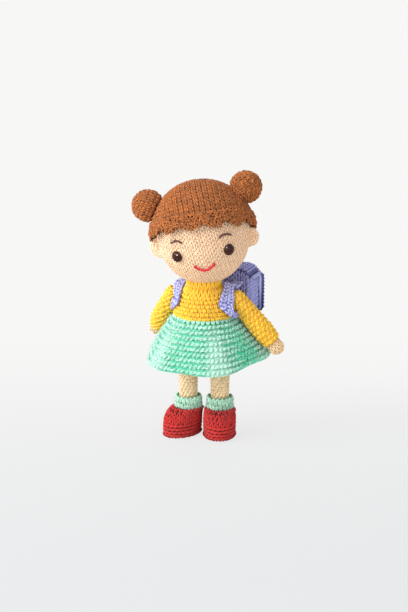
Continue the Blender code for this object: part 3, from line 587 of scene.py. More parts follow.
def yarn_group():
    """Twisted yarn: its colour runs from a painted shade colour in the hollows to its own colour
    on the crown of each strand, with a painted highlight on the plies and loose fibres of the
    crown, the small differences from stitch to stitch, and its height for the bump."""
    group = bpy.data.node_groups.new("twisted_yarn", "ShaderNodeTree")
    for label, kind in (("Yarn Colour", "Color"), ("Painted Shade Colour", "Color"),
                        ("Painted Highlight Colour", "Color"), ("Plies", "Float"),
                        ("Twists per Millimetre", "Float"), ("Ply Contrast", "Float"),
                        ("Stitch Variation", "Float")):
        group.interface.new_socket(label, in_out="INPUT", socket_type="NodeSocket" + kind)
    for label, kind in (("Colour", "Color"), ("Height", "Float")):
        group.interface.new_socket(label, in_out="OUTPUT", socket_type="NodeSocket" + kind)
    start = add_node(group, "NodeGroupInput").outputs

    def attribute(label):
        return add_node(group, "ShaderNodeAttribute", attribute_name=label).outputs["Fac"]

    uv = add_node(group, "ShaderNodeUVMap", uv_map="yarn").outputs["UV"]
    split = add_node(group, "ShaderNodeSeparateXYZ", {"Vector": uv}).outputs
    phase = maths(group, "ADD", maths(group, "MULTIPLY", split["X"], start["Plies"]),
                  maths(group, "MULTIPLY", split["Y"], start["Twists per Millimetre"]))
    wave = maths(group, "SINE", maths(group, "MULTIPLY", phase, 2.0 * math.pi))
    ply = maths(group, "MULTIPLY_ADD", wave, 0.5, 0.5)
    strands = grain(group, STRAND_GRAIN, 3.0)
    patches = grain(group, PATCH_GRAIN)

    # Painted shade: where the yarn lies low in its stitch, the colour goes to the painted shade
    # colour. Pieces with no crown attribute, such as the backings, take the painted shade colour all
    # over.
    crown = fade(group, attribute("crown"), 0.12, 0.72)
    colour = mix_colours(group, crown, start["Painted Shade Colour"], start["Yarn Colour"])
    # Painted highlight: the plies and fine fibres on the crown are lightened toward the painted
    # highlight colour.
    lit = maths(group, "MULTIPLY", maths(group, "MULTIPLY", ply, strands), start["Ply Contrast"])
    lit = maths(group, "MULTIPLY", maths(group, "MULTIPLY", lit, 2.2), crown)
    colour = mix_colours(group, lit, colour, start["Painted Highlight Colour"])
    change = maths(group, "MULTIPLY", attribute("shade"), start["Stitch Variation"])
    wide = maths(group, "MULTIPLY", maths(group, "SUBTRACT", patches, 0.5), 0.35)
    change = maths(group, "ADD", maths(group, "ADD", change, wide), 1.0)
    tint = add_node(group, "ShaderNodeCombineColor", {0: change, 1: change, 2: change})
    colour = mix_colours(group, 1.0, colour, tint.outputs["Color"], "MULTIPLY")
    height = maths(group, "ADD", maths(group, "MULTIPLY", ply, 0.7),
                   maths(group, "MULTIPLY", strands, 0.5))
    add_node(group, "NodeGroupOutput", {"Colour": colour, "Height": height})
    return group


FLUTES = 5.0
FLUTE_PHASE = math.radians(175.0)
FOLD_SHADING_TOP = 64.0
FOLD_SHADING_FOOT = 53.0


def shade_folds(tree, colour, fold_shade_colour, ridge_highlight_colour):
    """The yarn's colour, with painted shade where the skirt's flutes dip in and a painted highlight
    on their crests, both strongest low on the skirt. The painted shade is weaker on her right
    side, where the key light falls into the flutes."""
    split = add_node(tree, "ShaderNodeSeparateXYZ", {"Vector": own_place(tree)}).outputs
    across = maths(tree, "SUBTRACT", split["X"], AXIS.x)
    forward = maths(tree, "SUBTRACT", AXIS.y, split["Y"])
    turn = maths(tree, "ARCTAN2", across, forward)
    wave = maths(tree, "COSINE", maths(tree, "MULTIPLY_ADD", turn, FLUTES, -FLUTE_PHASE))
    low = fade(tree, split["Z"], FOLD_SHADING_TOP * MM, FOLD_SHADING_FOOT * MM, curve="LINEAR")
    lit_side = fade(tree, across, 4.0 * MM, 20.0 * MM, low=0.35, curve="LINEAR")
    fold_shade = maths(tree, "MULTIPLY", fade(tree, wave, 0.35, -0.9), lit_side)
    ridge_highlight = fade(tree, wave, 0.3, 0.98)
    # Painted shade in the flutes' hollows and a painted highlight on their crests.
    for mask, tint, most in ((fold_shade, fold_shade_colour, 0.9), (ridge_highlight, ridge_highlight_colour, 0.7)):
        amount = maths(tree, "MULTIPLY", maths(tree, "MULTIPLY", mask, low), most)
        colour = mix_colours(tree, amount, colour, srgb(*tint))
    return colour


def yarn_material(name, colour, hollow_shade, light, plies=3.0, twists=0.55, contrast=0.5,
                  variation=0.08, sheen=0.25, proud=0.12, fold_shade_and_highlight=None):
    """Crochet yarn of one colour, with painted shade in its hollows and a painted highlight on its
    lit fibres.
    """
    material, tree, shader = new_material(name)
    yarn = add_node(tree, "ShaderNodeGroup", node_tree=YARN_GROUP)
    set_inputs(tree, yarn, {
        "Yarn Colour": srgb(*colour), "Painted Shade Colour": srgb(*hollow_shade),
        "Painted Highlight Colour": srgb(*light), "Plies": plies, "Twists per Millimetre": twists,
        "Ply Contrast": contrast, "Stitch Variation": variation})
    shown = yarn.outputs["Colour"]
    if fold_shade_and_highlight:
        shown = shade_folds(tree, shown, *fold_shade_and_highlight)
    set_inputs(tree, shader, {
        "Base Color": shown, "Normal": relief(tree, yarn.outputs["Height"], 0.6, proud * MM),
        "Roughness": 0.85, "Specular IOR Level": 0.25, "Sheen Weight": sheen,
        "Sheen Roughness": 0.5})
    return material


def eye_material():
    """Dark brown moulded plastic in two close tones, with a gloss."""
    material, tree, shader = new_material("glossy_brown_plastic")
    cloud = grain(tree, 350.0, 4.0)
    set_inputs(tree, shader, {
        "Base Color": two_tones(tree, cloud, srgb(42, 16, 10), srgb(76, 38, 24), 0.35, 0.70),
        "Roughness": fade(tree, cloud, 0.0, 1.0, 0.07, 0.16, "LINEAR"),
        "Specular IOR Level": 0.2})
    return material


def grained_material(name, light, dark, scale, roughness):
    """A plain inner part's finish: two close tones in a fine grain."""
    material, tree, shader = new_material(name)
    fine = grain(tree, scale, 5.0)
    set_inputs(tree, shader, {"Base Color": two_tones(tree, fine, srgb(*dark), srgb(*light)),
                              "Normal": relief(tree, fine, 0.3, 0.1 * MM),
                              "Roughness": roughness})
    return material


YARN_GROUP = yarn_group()
STITCH_TREE = stitch_tree()
FUZZ_TREE = fuzz_tree()
SHAPES = make_shapes()

# Each yarn's own colour, the painted shade colour of its hollows and the painted highlight colour of
# its lit fibres
FACE_YARN = yarn_material("pale_skin_yarn", (240, 202, 164), (226, 184, 146), (250, 216, 184),
                          contrast=0.25, variation=0.02, sheen=0.15, proud=0.07)
EAR_YARN = yarn_material("soft_skin_yarn", (250, 214, 178), (242, 202, 164), (255, 226, 196),
                         contrast=0.2, variation=0.02, sheen=0.15, proud=0.07)
HAND_YARN = yarn_material("warm_skin_yarn", (238, 204, 156), (218, 176, 128), (250, 222, 180),
                          contrast=0.3, variation=0.05, sheen=0.15)
LEG_YARN = yarn_material("tan_skin_yarn", (242, 210, 164), (220, 182, 134), (254, 232, 196),
                         contrast=0.6, variation=0.1, sheen=0.2)
HAIR_YARN = yarn_material("chestnut_hair_yarn", (130, 63, 16), (99, 43, 11), (204, 122, 44),
                          contrast=0.7, variation=0.16, sheen=0.12)
JUMPER_YARN = yarn_material("mustard_jumper_yarn", (247, 190, 32), (234, 168, 26),
                            (255, 222, 92), contrast=0.6, sheen=0.12)
# The skirt's last two colours are the painted shade in its flutes' hollows and the painted highlight
# on their crests.
SKIRT_YARN = yarn_material("fuzzy_mint_yarn", (128, 216, 186), (92, 196, 160),
                           (206, 246, 230), contrast=0.8, variation=0.12, sheen=0.15,
                           fold_shade_and_highlight=((78, 222, 178), (206, 246, 230)))
SPECK_YARN = yarn_material("pale_mint_specks", (216, 250, 238), (190, 240, 220),
                           (244, 255, 250), contrast=0.3, variation=0.05, sheen=0.3)
SOCK_YARN = yarn_material("fuzzy_sock_yarn", (146, 200, 172), (98, 170, 140),
                          (204, 234, 218), contrast=0.8, variation=0.16, sheen=0.2)
SHOE_YARN = yarn_material("red_shoe_yarn", (180, 18, 20), (132, 8, 12), (214, 58, 46),
                          variation=0.12, sheen=0.08)
PACK_YARN = yarn_material("lilac_pack_yarn", (142, 142, 204), (92, 92, 150), (190, 194, 240),
                          contrast=0.6, variation=0.1, sheen=0.1)
STRAP_YARN = yarn_material("periwinkle_strap_yarn", (170, 172, 226), (118, 118, 182),
                           (212, 214, 250), contrast=0.6, variation=0.1, sheen=0.1)
PALE_PACK_YARN = yarn_material("pale_lilac_yarn", (186, 190, 232), (140, 142, 200),
                               (220, 222, 250), variation=0.1, sheen=0.1)
EDGING_YARN = yarn_material("indigo_edging_yarn", (78, 86, 156), (42, 46, 102),
                            (118, 128, 192), variation=0.1, sheen=0.1)
BROW_THREAD = yarn_material("brown_brow_thread", (92, 46, 44), (54, 26, 24), (124, 80, 70),
                            plies=2.0, twists=1.2, contrast=0.4, variation=0.0)
MOUTH_THREAD = yarn_material("red_mouth_thread", (216, 20, 36), (160, 10, 24), (236, 60, 70),
                             plies=2.0, twists=1.2, contrast=0.4, variation=0.0)
EYE_PLASTIC = eye_material()
CARD = grained_material("grey_insole_card", (206, 202, 190), (176, 170, 156), 900.0, 0.8)
WOOD = grained_material("plain_turned_wood", (212, 180, 134), (172, 134, 88), 500.0, 0.6)


# Head

HEAD_SKIN = ("head", "face_yarn")


def skull_radius(height):
    if height >= SKULL_RISE:
        return math.sqrt(max(SKULL_RADIUS ** 2 - (height - SKULL_RISE) ** 2, 0.0))
    if height >= 0.0:
        return HEAD_RADIUS + (SKULL_RADIUS - HEAD_RADIUS) * height / SKULL_RISE
    return math.sqrt(max(HEAD_RADIUS ** 2 - height ** 2, 0.0))


def face_point(across, height, lift):
    """A point on the face's side of the head, at a lift above the yarn."""
    growth = 1.0 + lift / HEAD_RADIUS
    radius = growth * skull_radius(height / growth)
    return Vector((across, -math.sqrt(radius ** 2 - across ** 2), height))


def hairline(turn):
    """Height of the hair's lower edge, which is high over the face and low behind."""
    return 3.4 + 8.5 * math.cos(turn) - 0.9 * math.cos(2.0 * turn)


def make_face():
    """The stuffed head with its rounds of pale stitches, from under the hair to the neck."""
    profile = arc(SKULL_RISE, SKULL_RADIUS, 0.0, math.pi / 2.0, 20)
    profile += arc(0.0, HEAD_RADIUS, math.pi / 2.0, math.pi, 24)
    surface = turned_surface(profile)
    stuff("head_stuffed", HEAD_SKIN, surface, HEAD, FACE_YARN, ("head_shell", "head_stuffing"),
          depth=0.40, rows=40, start=0.01, end=0.99)

    def below_hair(turn, share):
        return surface(turn, share).z < hairline(turn) + 1.5

    stitches = work("face_stitches", HEAD_SKIN, surface, even_rounds(surface, 2.3, 0.26, 0.94),
                    HEAD, FACE_YARN, "vee", height=2.4, width=2.75, shift=0.12,
                    keep=below_hair, depth=0.42, loose=3.0)
    grow_fuzz("face_fuzz", HEAD_SKIN, stitches, FACE_YARN, per_mm2=0.5, length=0.45)


EAR_RADIUS = 5.1
EAR_RIM = 1.6
EAR_ACROSS = 23.2


def make_ear(side, label, rise):
    """A round dished ear that opens forward, worked in small rounds. The rise lifts it and
    widens it."""
    place = Vector((side * EAR_ACROSS, 2.0, rise - 3.0))
    ear_frame = HEAD @ aim(place, (side * 0.35, -1.0, 0.0))
    rim = [(EAR_RADIUS - EAR_RIM + rise * 0.6 + r, h)
           for r, h in arc(0.0, EAR_RIM, 0.0, math.pi, 12)]
    surface = turned_surface([(0.01, 0.9)] + rim + [(0.01, -EAR_RIM)])
    into_head = HEAD.inverted() @ ear_frame

    def outside_head(turn, share):
        point = into_head @ surface(turn, share)
        return math.hypot(point.x, point.y) > skull_radius(point.z) - 0.2

    stuff("ear_backing_" + label, HEAD_SKIN, surface, ear_frame, EAR_YARN, ("ear_" + label,),
          depth=0.25, rows=26, start=0.01, end=0.99)
    work("ear_stitches_" + label, HEAD_SKIN, surface, even_rounds(surface, 1.5, 0.1, 0.92),
         ear_frame, EAR_YARN, "cord", height=1.75, width=2.2, keep=outside_head, depth=0.32,
         loose=2.0)


def twisted_thread(name, points, radius, material, node, slot):
    """A two-strand thread along the points."""
    path = smooth_path(points, 40)
    strand = radius * 0.58
    tubes = []
    for start in (0.0, math.pi):
        strand_points = []
        for index, point in enumerate(path):
            ahead = path[min(index + 1, len(path) - 1)]
            behind = path[max(index - 1, 0)]
            tangent = Vector(ahead - behind).normalized()
            side = (Vector((0.0, -1.0, 0.0)) - tangent * -tangent.y).normalized()
            angle = start + index * 0.55
            way = side * math.cos(angle) + tangent.cross(side) * math.sin(angle)
            strand_points.append(Vector(point) + way * strand * 0.9)
        tubes.append(tube(strand_points, [strand] * len(strand_points), 6))
    mesh = yarn_mesh(name, tubes)
    # An even crown all along: the thread shows almost none of the painted shade and keeps the
    # painted highlight on its plies.
    crown = mesh.attributes["crown"]
    crown.data.foreach_set("value", np.full(len(mesh.vertices), 0.7, np.float32))
    mesh.transform(HEAD)
    mesh.materials.append(material)
    put_on(new_object(name, mesh), ("head", slot), node)


BROW_ACROSS = 12.4
BROW_HALF_LENGTH = 3.0
BROW_HEIGHT = 3.6
BROW_ARCH = 1.2
MOUTH_HALF_WIDTH = 5.3
MOUTH_HEIGHT = -9.2
MOUTH_DIP = 3.1


def make_embroidery():
    """Eyebrows and mouth, stitched in thread on the face."""
    for side, label in ((-1.0, "right"), (1.0, "left")):
        points = [face_point(side * BROW_ACROSS + share * BROW_HALF_LENGTH,
                             BROW_HEIGHT + BROW_ARCH * (1.0 - share ** 2), 0.5)
                  for share in np.linspace(-1.0, 1.0, 7)]
        twisted_thread("brow_thread_" + label, points, 0.5, BROW_THREAD, "eyebrow_" + label,
                       "brow_thread")
    points = [face_point(share * MOUTH_HALF_WIDTH, MOUTH_HEIGHT - MOUTH_DIP * (1.0 - share ** 2),
                         0.6) for share in np.linspace(-1.0, 1.0, 11)]
    twisted_thread("mouth_stitching", points, 0.62, MOUTH_THREAD, "mouth", "mouth_thread")


# Hair

ON_HAIR = ("head", "hair_yarn")
HAIR_LIFT = 3.1
HAIR_STEPS = 96
HAIR_POLE_TILT = math.radians(-24.0)
CROWN_SLOPE = math.radians(6.0)
CAP_ROWS = 12
FRINGE_LIFT = 3.6
FRINGE_DEPTH = 4.6
FRINGE_ROWS = 5
FRINGE_CURLS = 76
LOBE_DEPTH = 2.3
UNDER_HAIR = 0.5


def scallop(turn):
    """The fringe's row of small lobes."""
    wave = abs(math.cos((turn - math.radians(6.0)) * 6.5 + math.pi / 2.0))
    return 1.3 * (wave - 0.6)


def hair_surface(turn, share):
    """The hair cap's outside, worked round a crown that lies behind the top of the head.
    Its share runs from the crown to the point opposite it."""
    slope = math.pi * share
    way = (Matrix.Rotation(HAIR_POLE_TILT, 3, "X")
           @ round_point(turn, math.sin(slope), math.cos(slope)))
    taper = (SKULL_RADIUS - HEAD_RADIUS) * min(1.0, max(0.0, -3.0 * way.z))
    return Vector((0.0, 0.0, SKULL_RISE)) + way * (SKULL_RADIUS + HAIR_LIFT - taper)


hair_surface.length = math.pi * (SKULL_RADIUS + HAIR_LIFT)


def hair_point(turn, level, lift):
    """A point round the skull at a level, lifted straight out of it."""
    radius = skull_radius(level)
    way = Vector((radius, level - SKULL_RISE)).normalized() * lift
    return round_point(turn, radius + way.x, level + way.y)


def cap_loop(row, lift):
    """A loop of the cap, from row 0 round its crown to the last row along the fringe."""
    loop = []
    for turn in even_turns(HAIR_STEPS):
        edge = math.acos((hairline(turn) + FRINGE_DEPTH - SKULL_RISE) / SKULL_RADIUS)
        slope = CROWN_SLOPE + (edge - CROWN_SLOPE) * row / CAP_ROWS
        loop.append(hair_point(turn, SKULL_RISE + SKULL_RADIUS * math.cos(slope), lift))
    return loop


def make_hair_cap():
    """The cap: columns of stitches from the crown down to the fringe."""
    outer = [cap_loop(row, HAIR_LIFT - 0.85) for row in range(CAP_ROWS + 1)]
    inner = [cap_loop(row, UNDER_HAIR) for row in reversed(range(CAP_ROWS + 1))]
    backing = loft("hair_cap_backing", outer + inner, HEAD, HAIR_YARN,
                   middle_of(outer[0]) + Vector((0.0, 0.0, 0.1)), middle_of(inner[-1]))
    put_on(backing, ON_HAIR, "hair_cap")

    def above_fringe(turn, share):
        point = hair_surface(turn, share)
        edge = hairline(math.atan2(point.x, -point.y)) + FRINGE_DEPTH - 0.6 - SKULL_RISE
        return point.z > SKULL_RISE + edge * (SKULL_RADIUS + HAIR_LIFT) / SKULL_RADIUS

    rounds = even_rounds(hair_surface, 2.3, 0.0, 0.66)
    stitches = work("hair_cap_stitches", ON_HAIR, hair_surface, rounds, HEAD, HAIR_YARN,
                    "close_bead", height=2.3, width=2.8, shift=0.08, keep=above_fringe,
                    loose=11.0)
    grow_fuzz("hair_cap_fuzz", ON_HAIR, stitches, HAIR_YARN, per_mm2=0.58, length=0.65)


def fringe_loop(lift, above):
    """A loop round the head above the hairline, with the scallops of the fringe's foot."""
    loop = []
    for turn in even_turns(HAIR_STEPS):
        lobe = LOBE_DEPTH * scallop(turn) * (1.0 - above / FRINGE_DEPTH)
        loop.append(hair_point(turn, hairline(turn) + above - lobe, lift))
    return loop


def fringe_curl(chance, row, column):
    """One curl's place. Each is moved, turned, tipped and sized a little by chance."""
    above = 0.3 + (FRINGE_DEPTH - 0.7) * row / (FRINGE_ROWS - 1)
    turn = 2.0 * math.pi * (column + 0.5 * (row % 2) + chance.uniform(-0.2, 0.2)) / FRINGE_CURLS
    lobe = LOBE_DEPTH * scallop(turn) * (1.0 - 0.8 * above / FRINGE_DEPTH)
    level = hairline(turn) + above - lobe + chance.uniform(-0.2, 0.2)
    radius = skull_radius(level)
    outward = round_point(turn, radius, max(level - SKULL_RISE, -6.0)).normalized()
    point = round_point(turn, radius, level) + outward * (FRINGE_LIFT - 0.1)
    spin = Matrix.Rotation(chance.uniform(-math.pi, math.pi), 3, "Z")
    lean = Matrix.Rotation(chance.uniform(-0.35, 0.35), 3, "X")
    turned = outward.to_track_quat("Z", "Y").to_matrix() @ spin @ lean
    size = chance.uniform(0.85, 1.2)
    return stitch_at(HEAD, point, turned.transposed(), (size, size, size))


def make_fringe():
    """The looped fringe: a padded band with curls of yarn worked into it."""
    steps = (FRINGE_DEPTH, 3.2, 1.8, 0.4)
    loops = [fringe_loop(FRINGE_LIFT - 1.4, above) for above in steps]
    loops += [fringe_loop(UNDER_HAIR, above) for above in reversed(steps)]
    backing = loft("fringe_backing", loops, HEAD, HAIR_YARN, ring=True)
    put_on(backing, ON_HAIR, "hair_fringe")
    chance = random.Random(11)
    places = [fringe_curl(chance, row, column) for row in range(FRINGE_ROWS)
              for column in range(FRINGE_CURLS)]
    curls = lay_stitches("fringe_curls", ON_HAIR, places, "curl", HAIR_YARN, loose=12.0, seed=5)
    grow_fuzz("fringe_fuzz", ON_HAIR, curls, HAIR_YARN, per_mm2=0.65, length=0.5)


BUN_RADIUS = 8.4


def make_bun(across, label, rise):
    """A stuffed hair bun, worked round from its crown and sewn to the cap."""
    place = Vector((across, 2.0, rise))
    bun_frame = HEAD @ aim(place, place - Vector((0.0, 0.0, SKULL_RISE)))
    surface = turned_surface(arc(0.0, BUN_RADIUS, 0.0, math.pi, 24))
    skull_middle = HEAD @ Vector((0.0, 0.0, SKULL_RISE))

    def outside_cap(turn, share):
        away = (bun_frame @ surface(turn, share) - skull_middle).length / MM
        return away > SKULL_RADIUS + HAIR_LIFT - 0.2

    stuff("bun_stuffed_" + label, ON_HAIR, surface, bun_frame, HAIR_YARN,
          ("bun_" + label, "bun_stuffing_" + label), rows=14, start=0.02, end=0.74)
    stitches = work("bun_stitches_" + label, ON_HAIR, surface,
                    even_rounds(surface, 2.3, 0.0, 0.86), bun_frame, HAIR_YARN, "close_bead",
                    height=2.35, width=2.75, shift=0.5, keep=outside_cap, loose=16.0)
    grow_fuzz("bun_fuzz_" + label, ON_HAIR, stitches, HAIR_YARN, per_mm2=0.8, length=0.5)


# Jumper, hips and skirt

ON_JUMPER = ("torso", "jumper_yarn")
TORSO_SKIN = ("torso", "face_yarn")
ON_SKIRT = ("torso", "skirt_yarn")
WAIST_HEIGHT = 65.6
WAIST_RADIUS = 16.3
NECK_RADIUS = 9.8
PIVOT_ACROSS = 17.8
PIVOT_BACK = 2.0
SLEEVE_TOP_RADIUS = 4.0
YOKE_DEPTH = 7.4


def seat_height(radius):
    """Height of the hollow that the head sits in, at a radius."""
    return HEAD_HEIGHT - math.sqrt((HEAD_RADIUS + GAP) ** 2 - radius ** 2)


def torso_height(share):
    return WAIST_HEIGHT + (seat_height(NECK_RADIUS) - WAIST_HEIGHT) * share


def arm_pivot(side):
    return Vector((side * PIVOT_ACROSS, PIVOT_BACK, torso_height(0.467)))


def jumper_profile():
    points = [(NECK_RADIUS, torso_height(1.0)), (9.4, torso_height(0.845)),
              (12.7, torso_height(0.595)), (15.2, torso_height(0.287)),
              (WAIST_RADIUS, WAIST_HEIGHT)]
    return [tuple(p) for p in smooth_path(points, 32)]


def make_jumper():
    """The jumper's body: tall stitches round the yoke, then flat rows down to the waist."""
    surface = turned_surface(jumper_profile())
    dish = [round_loop(radius, seat_height(radius) - 0.3) for radius in (3.0, 5.0, 7.0)]
    loops = dish + inset_loops(surface, [row / 24 for row in range(25)], BACKING_DEPTH)
    backing = loft("jumper_stuffed", loops, BODY, JUMPER_YARN,
                   (0.0, 0.0, seat_height(0.0) - 0.3), middle_of(loops[-1]))
    put_on(backing, ON_JUMPER, "jumper_body", "torso_stuffing")

    def clear_of_arms(turn, share):
        point = surface(turn, share)
        return all((point - arm_pivot(side)).length > 5.1 for side in (-1.0, 1.0))

    yoke_share = YOKE_DEPTH / surface.length
    work("yoke_stitches", ON_JUMPER, surface, even_rounds(surface, 3.7, 0.0, yoke_share), BODY,
         JUMPER_YARN, "vee", height=4.2, width=2.35, shift=0.5, keep=clear_of_arms, loose=5.0)
    stitches = work("jumper_stitches", ON_JUMPER, surface,
                    even_rounds(surface, 2.3, yoke_share, 1.0), BODY, JUMPER_YARN, "bead",
                    height=1.96, width=2.35, shift=0.5, keep=clear_of_arms, loose=9.0)
    grow_fuzz("jumper_fuzz", ON_JUMPER, stitches, JUMPER_YARN, per_mm2=0.8, length=0.5)


HIP_RADIUS = 14.1
HIP_CORNER = 5.6
HIP_BOTTOM = 47.0


def make_hips():
    """The stuffed hips under the skirt."""
    corner = [(HIP_RADIUS - HIP_CORNER + r, h) for r, h in
              arc(HIP_BOTTOM + HIP_CORNER, HIP_CORNER, math.pi / 2.0, math.pi, 8)]
    surface = turned_surface([(HIP_RADIUS, WAIST_HEIGHT - GAP)] + corner + [(0.05, HIP_BOTTOM)])
    stuff("hips_stuffed", TORSO_SKIN, surface, BODY, LEG_YARN, ("hips",), end=0.99)
    work("hip_stitches", TORSO_SKIN, surface, even_rounds(surface, 3.0, 0.08, 0.97), BODY,
         LEG_YARN, "vee", height=3.1, width=3.1)


SKIRT_DROP = 21.4
SKIRT_FLARE = 15.7
FLUTE_HEIGHT = 1.9
SIDE_SWAY = 1.5
FRONT_DIP = 1.4
ENDS_DIP = 0.8


def skirt_surface(turn, share):
    """The skirt from its waist to its hem, with its flutes and its slanting hem."""
    radius = WAIST_RADIUS + SKIRT_FLARE * abs(share) ** 0.9 * (1.0 if share > 0.0 else -1.0)
    radius += FLUTE_HEIGHT * share ** 2 * math.cos(FLUTES * turn - FLUTE_PHASE)
    radius += SIDE_SWAY * share * math.sin(turn)
    dip = FRONT_DIP * math.cos(turn) + ENDS_DIP * math.cos(2.0 * turn)
    return round_point(turn, radius, WAIST_HEIGHT - GAP - (SKIRT_DROP + dip) * share)


skirt_surface.length = 26.6


def make_skirt():
    """The flared skirt: a lined sheet with flutes, and its rounds of fuzzy stitches."""
    shares = [row / 20 for row in range(21)]
    outer = inset_loops(skirt_surface, shares, BACKING_DEPTH, 112)
    inner = inset_loops(skirt_surface, shares, FABRIC - 0.05, 112)
    cloth = loft("skirt_cloth", outer + list(reversed(inner)), BODY, SKIRT_YARN, ring=True)
    put_on(cloth, ON_SKIRT, "skirt")
    stitches = work("skirt_stitches", ON_SKIRT, skirt_surface,
                    even_rounds(skirt_surface, 2.75, 0.03, 1.0), BODY, SKIRT_YARN, "dash",
                    height=2.6, width=2.4, shift=0.35, depth=0.85, loose=16.0)
    waist = work("skirt_waist_row", ON_SKIRT, skirt_surface, [-0.02], BODY, SKIRT_YARN, "bead",
                 height=2.6, width=2.6, depth=0.8, loose=10.0)
    specks = grow_fuzz("skirt_specks", ON_SKIRT, stitches, SPECK_YARN, per_mm2=0.50, length=1.0,
                       seed=3, shape="speck")
    fuzz = grow_fuzz("skirt_fuzz", ON_SKIRT, stitches, SPECK_YARN, per_mm2=1.6, length=1.25)


# Legs and feet

ON_SOCK = ("torso", "sock_yarn")
ON_SHOE = ("torso", "shoe_yarn")
LEG_PROFILE = ((5.1, 50.0), (5.1, 34.0), (4.8, 15.0))
SOCK_RADIUS = 7.0
SOCK_INNER = 5.4
SOCK_TOP = 20.3
SOCK_FOOT = 14.9
SHOE_WIDTH = 8.4
SHOE_LENGTH = 11.8
SHOE_FORWARD = 4.6
SHOE_HEIGHT = 14.6
# Shares of the width, length, forward reach and height, from the shoe's mouth to its sole
SHOE_LOOPS = ((6.0 / SHOE_WIDTH, 6.0 / SHOE_LENGTH, 0.0, 1.0), (0.90, 0.78, 0.34, 0.97),
              (1.00, 0.92, 0.66, 0.84), (1.03, 1.00, 0.90, 0.60), (1.02, 1.02, 1.00, 0.28),
              (0.98, 0.98, 1.00, 0.09), (0.90, 0.92, 1.00, 0.0))


def shoe_surface():
    """A shoe from its mouth round the toe and heel to its sole."""
    path = np.array(smooth_path(SHOE_LOOPS, 48))
    lengths = run_lengths([(SHOE_WIDTH * p[0], SHOE_HEIGHT * p[3]) for p in path])
    marks = lengths / lengths[-1]

    def surface(turn, share):
        width, long_side, forward, height = (np.interp(share, marks, column)
                                             for column in path.T)
        return Vector((SHOE_WIDTH * width * math.sin(turn),
                       -SHOE_FORWARD * forward - SHOE_LENGTH * long_side * math.cos(turn),
                       SHOE_HEIGHT * height))

    surface.length = float(lengths[-1]) * 1.12
    return surface


def sole_surface(turn, share):
    reach = 1.0 - share
    return Vector((SHOE_WIDTH * 0.87 * reach * math.sin(turn),
                   -SHOE_FORWARD - SHOE_LENGTH * 0.89 * reach * math.cos(turn), 0.0))


def make_shoe(foot, label):
    """A stuffed shoe with its rounds of red stitches and a flat worked sole."""
    surface = shoe_surface()
    stuff("shoe_stuffed_" + label, ON_SHOE, surface, foot, SHOE_YARN,
          ("shoe_" + label, "foot_stuffing_" + label), rows=20, end=0.97)
    work("shoe_low_rows_" + label, ON_SHOE, surface, even_rounds(surface, 2.0, 0.5, 0.97), foot,
         SHOE_YARN, "cord", height=2.1, width=2.6, shift=0.4, depth=0.9, loose=5.0)
    stitches = work("shoe_stitches_" + label, ON_SHOE, surface,
                    even_rounds(surface, 2.5, 0.0, 0.5), foot, SHOE_YARN, "vee", height=2.7,
                    width=2.6, shift=0.3, depth=0.85, loose=9.0)
    work("sole_stitches_" + label, ON_SHOE, sole_surface, [0.05, 0.38, 0.7], foot, SHOE_YARN,
         "vee", height=3.0, width=3.0, depth=0.8, loose=2.0)
    grow_fuzz("shoe_fuzz_" + label, ON_SHOE, stitches, SHOE_YARN, per_mm2=1.0, length=0.6)


def make_sock(place, label):
    """A short sock: a rolled top edge over upright ribs."""
    edge = (SOCK_RADIUS - SOCK_INNER) / 2.0
    roll = arc(SOCK_TOP - edge, edge, -math.pi / 2.0, math.pi / 2.0, 8)
    ring = [(SOCK_INNER + edge + r, h) for r, h in roll]
    ring += [(SOCK_RADIUS, SOCK_FOOT), (SOCK_INNER, SOCK_FOOT)]
    loops = [round_loop(radius - 0.55 if radius > 6.0 else radius, height)
             for radius, height in ring]
    backing = loft("sock_backing_" + label, loops, place, SOCK_YARN, ring=True)
    put_on(backing, ON_SOCK, "sock_" + label)
    wall = turned_surface([(SOCK_RADIUS, SOCK_TOP), (SOCK_RADIUS + 0.5, SOCK_FOOT - 1.5)])
    ribs = work("sock_ribs_" + label, ON_SOCK, wall, [0.30, 0.72], place, SOCK_YARN, "bead",
                height=2.9, width=2.2, shift=0.5, depth=0.8, loose=12.0)
    work("sock_edge_" + label, ON_SOCK, wall, [0.1], place, SOCK_YARN, "rope", height=1.7,
         width=2.6, depth=0.9)
    grow_fuzz("sock_fuzz_" + label, ON_SOCK, ribs, SPECK_YARN, per_mm2=1.4, length=0.9)


def make_leg(across, back, label, foot_turn):
    """A leg, its rolled sock and its shoe."""
    place = BODY @ Matrix.Translation((across, back, 0.0))
    surface = turned_surface(LEG_PROFILE)
    stuff("leg_stuffed_" + label, TORSO_SKIN, surface, place, LEG_YARN,
          ("leg_" + label, "leg_stuffing_" + label), depth=0.55, rows=16)
    stitches = work("leg_stitches_" + label, TORSO_SKIN, surface,
                    even_rounds(surface, 1.9, 0.02, 0.95), place, LEG_YARN, "knot", height=2.1,
                    width=2.1, shift=0.5, depth=0.5, loose=9.0)
    grow_fuzz("leg_fuzz_" + label, TORSO_SKIN, stitches, LEG_YARN, per_mm2=0.5, length=0.45)
    make_sock(place, label)
    make_shoe(place @ Matrix.Rotation(foot_turn, 4, "Z"), label)


# Arms

SLEEVE_PLUMP = 0.8
HAND_RADIUS = 4.1
HAND_HEIGHT = 32.1


def sleeve_surface(plump):
    """The sleeve from its cuff up to its round top. Plump makes it fuller, most at the top."""
    points = [(SLEEVE_TOP_RADIUS + plump, 0.0), (4.3 + plump, 8.6), (5.1 + plump * 0.7, 20.0),
              (4.6 + plump * 0.4, 28.5)]
    side = [tuple(p) for p in smooth_path(points, 20)]
    ball = arc(0.0, SLEEVE_TOP_RADIUS + plump, math.pi, math.pi / 2.0, 8)
    return turned_surface(list(reversed(ball[:-1] + side)))


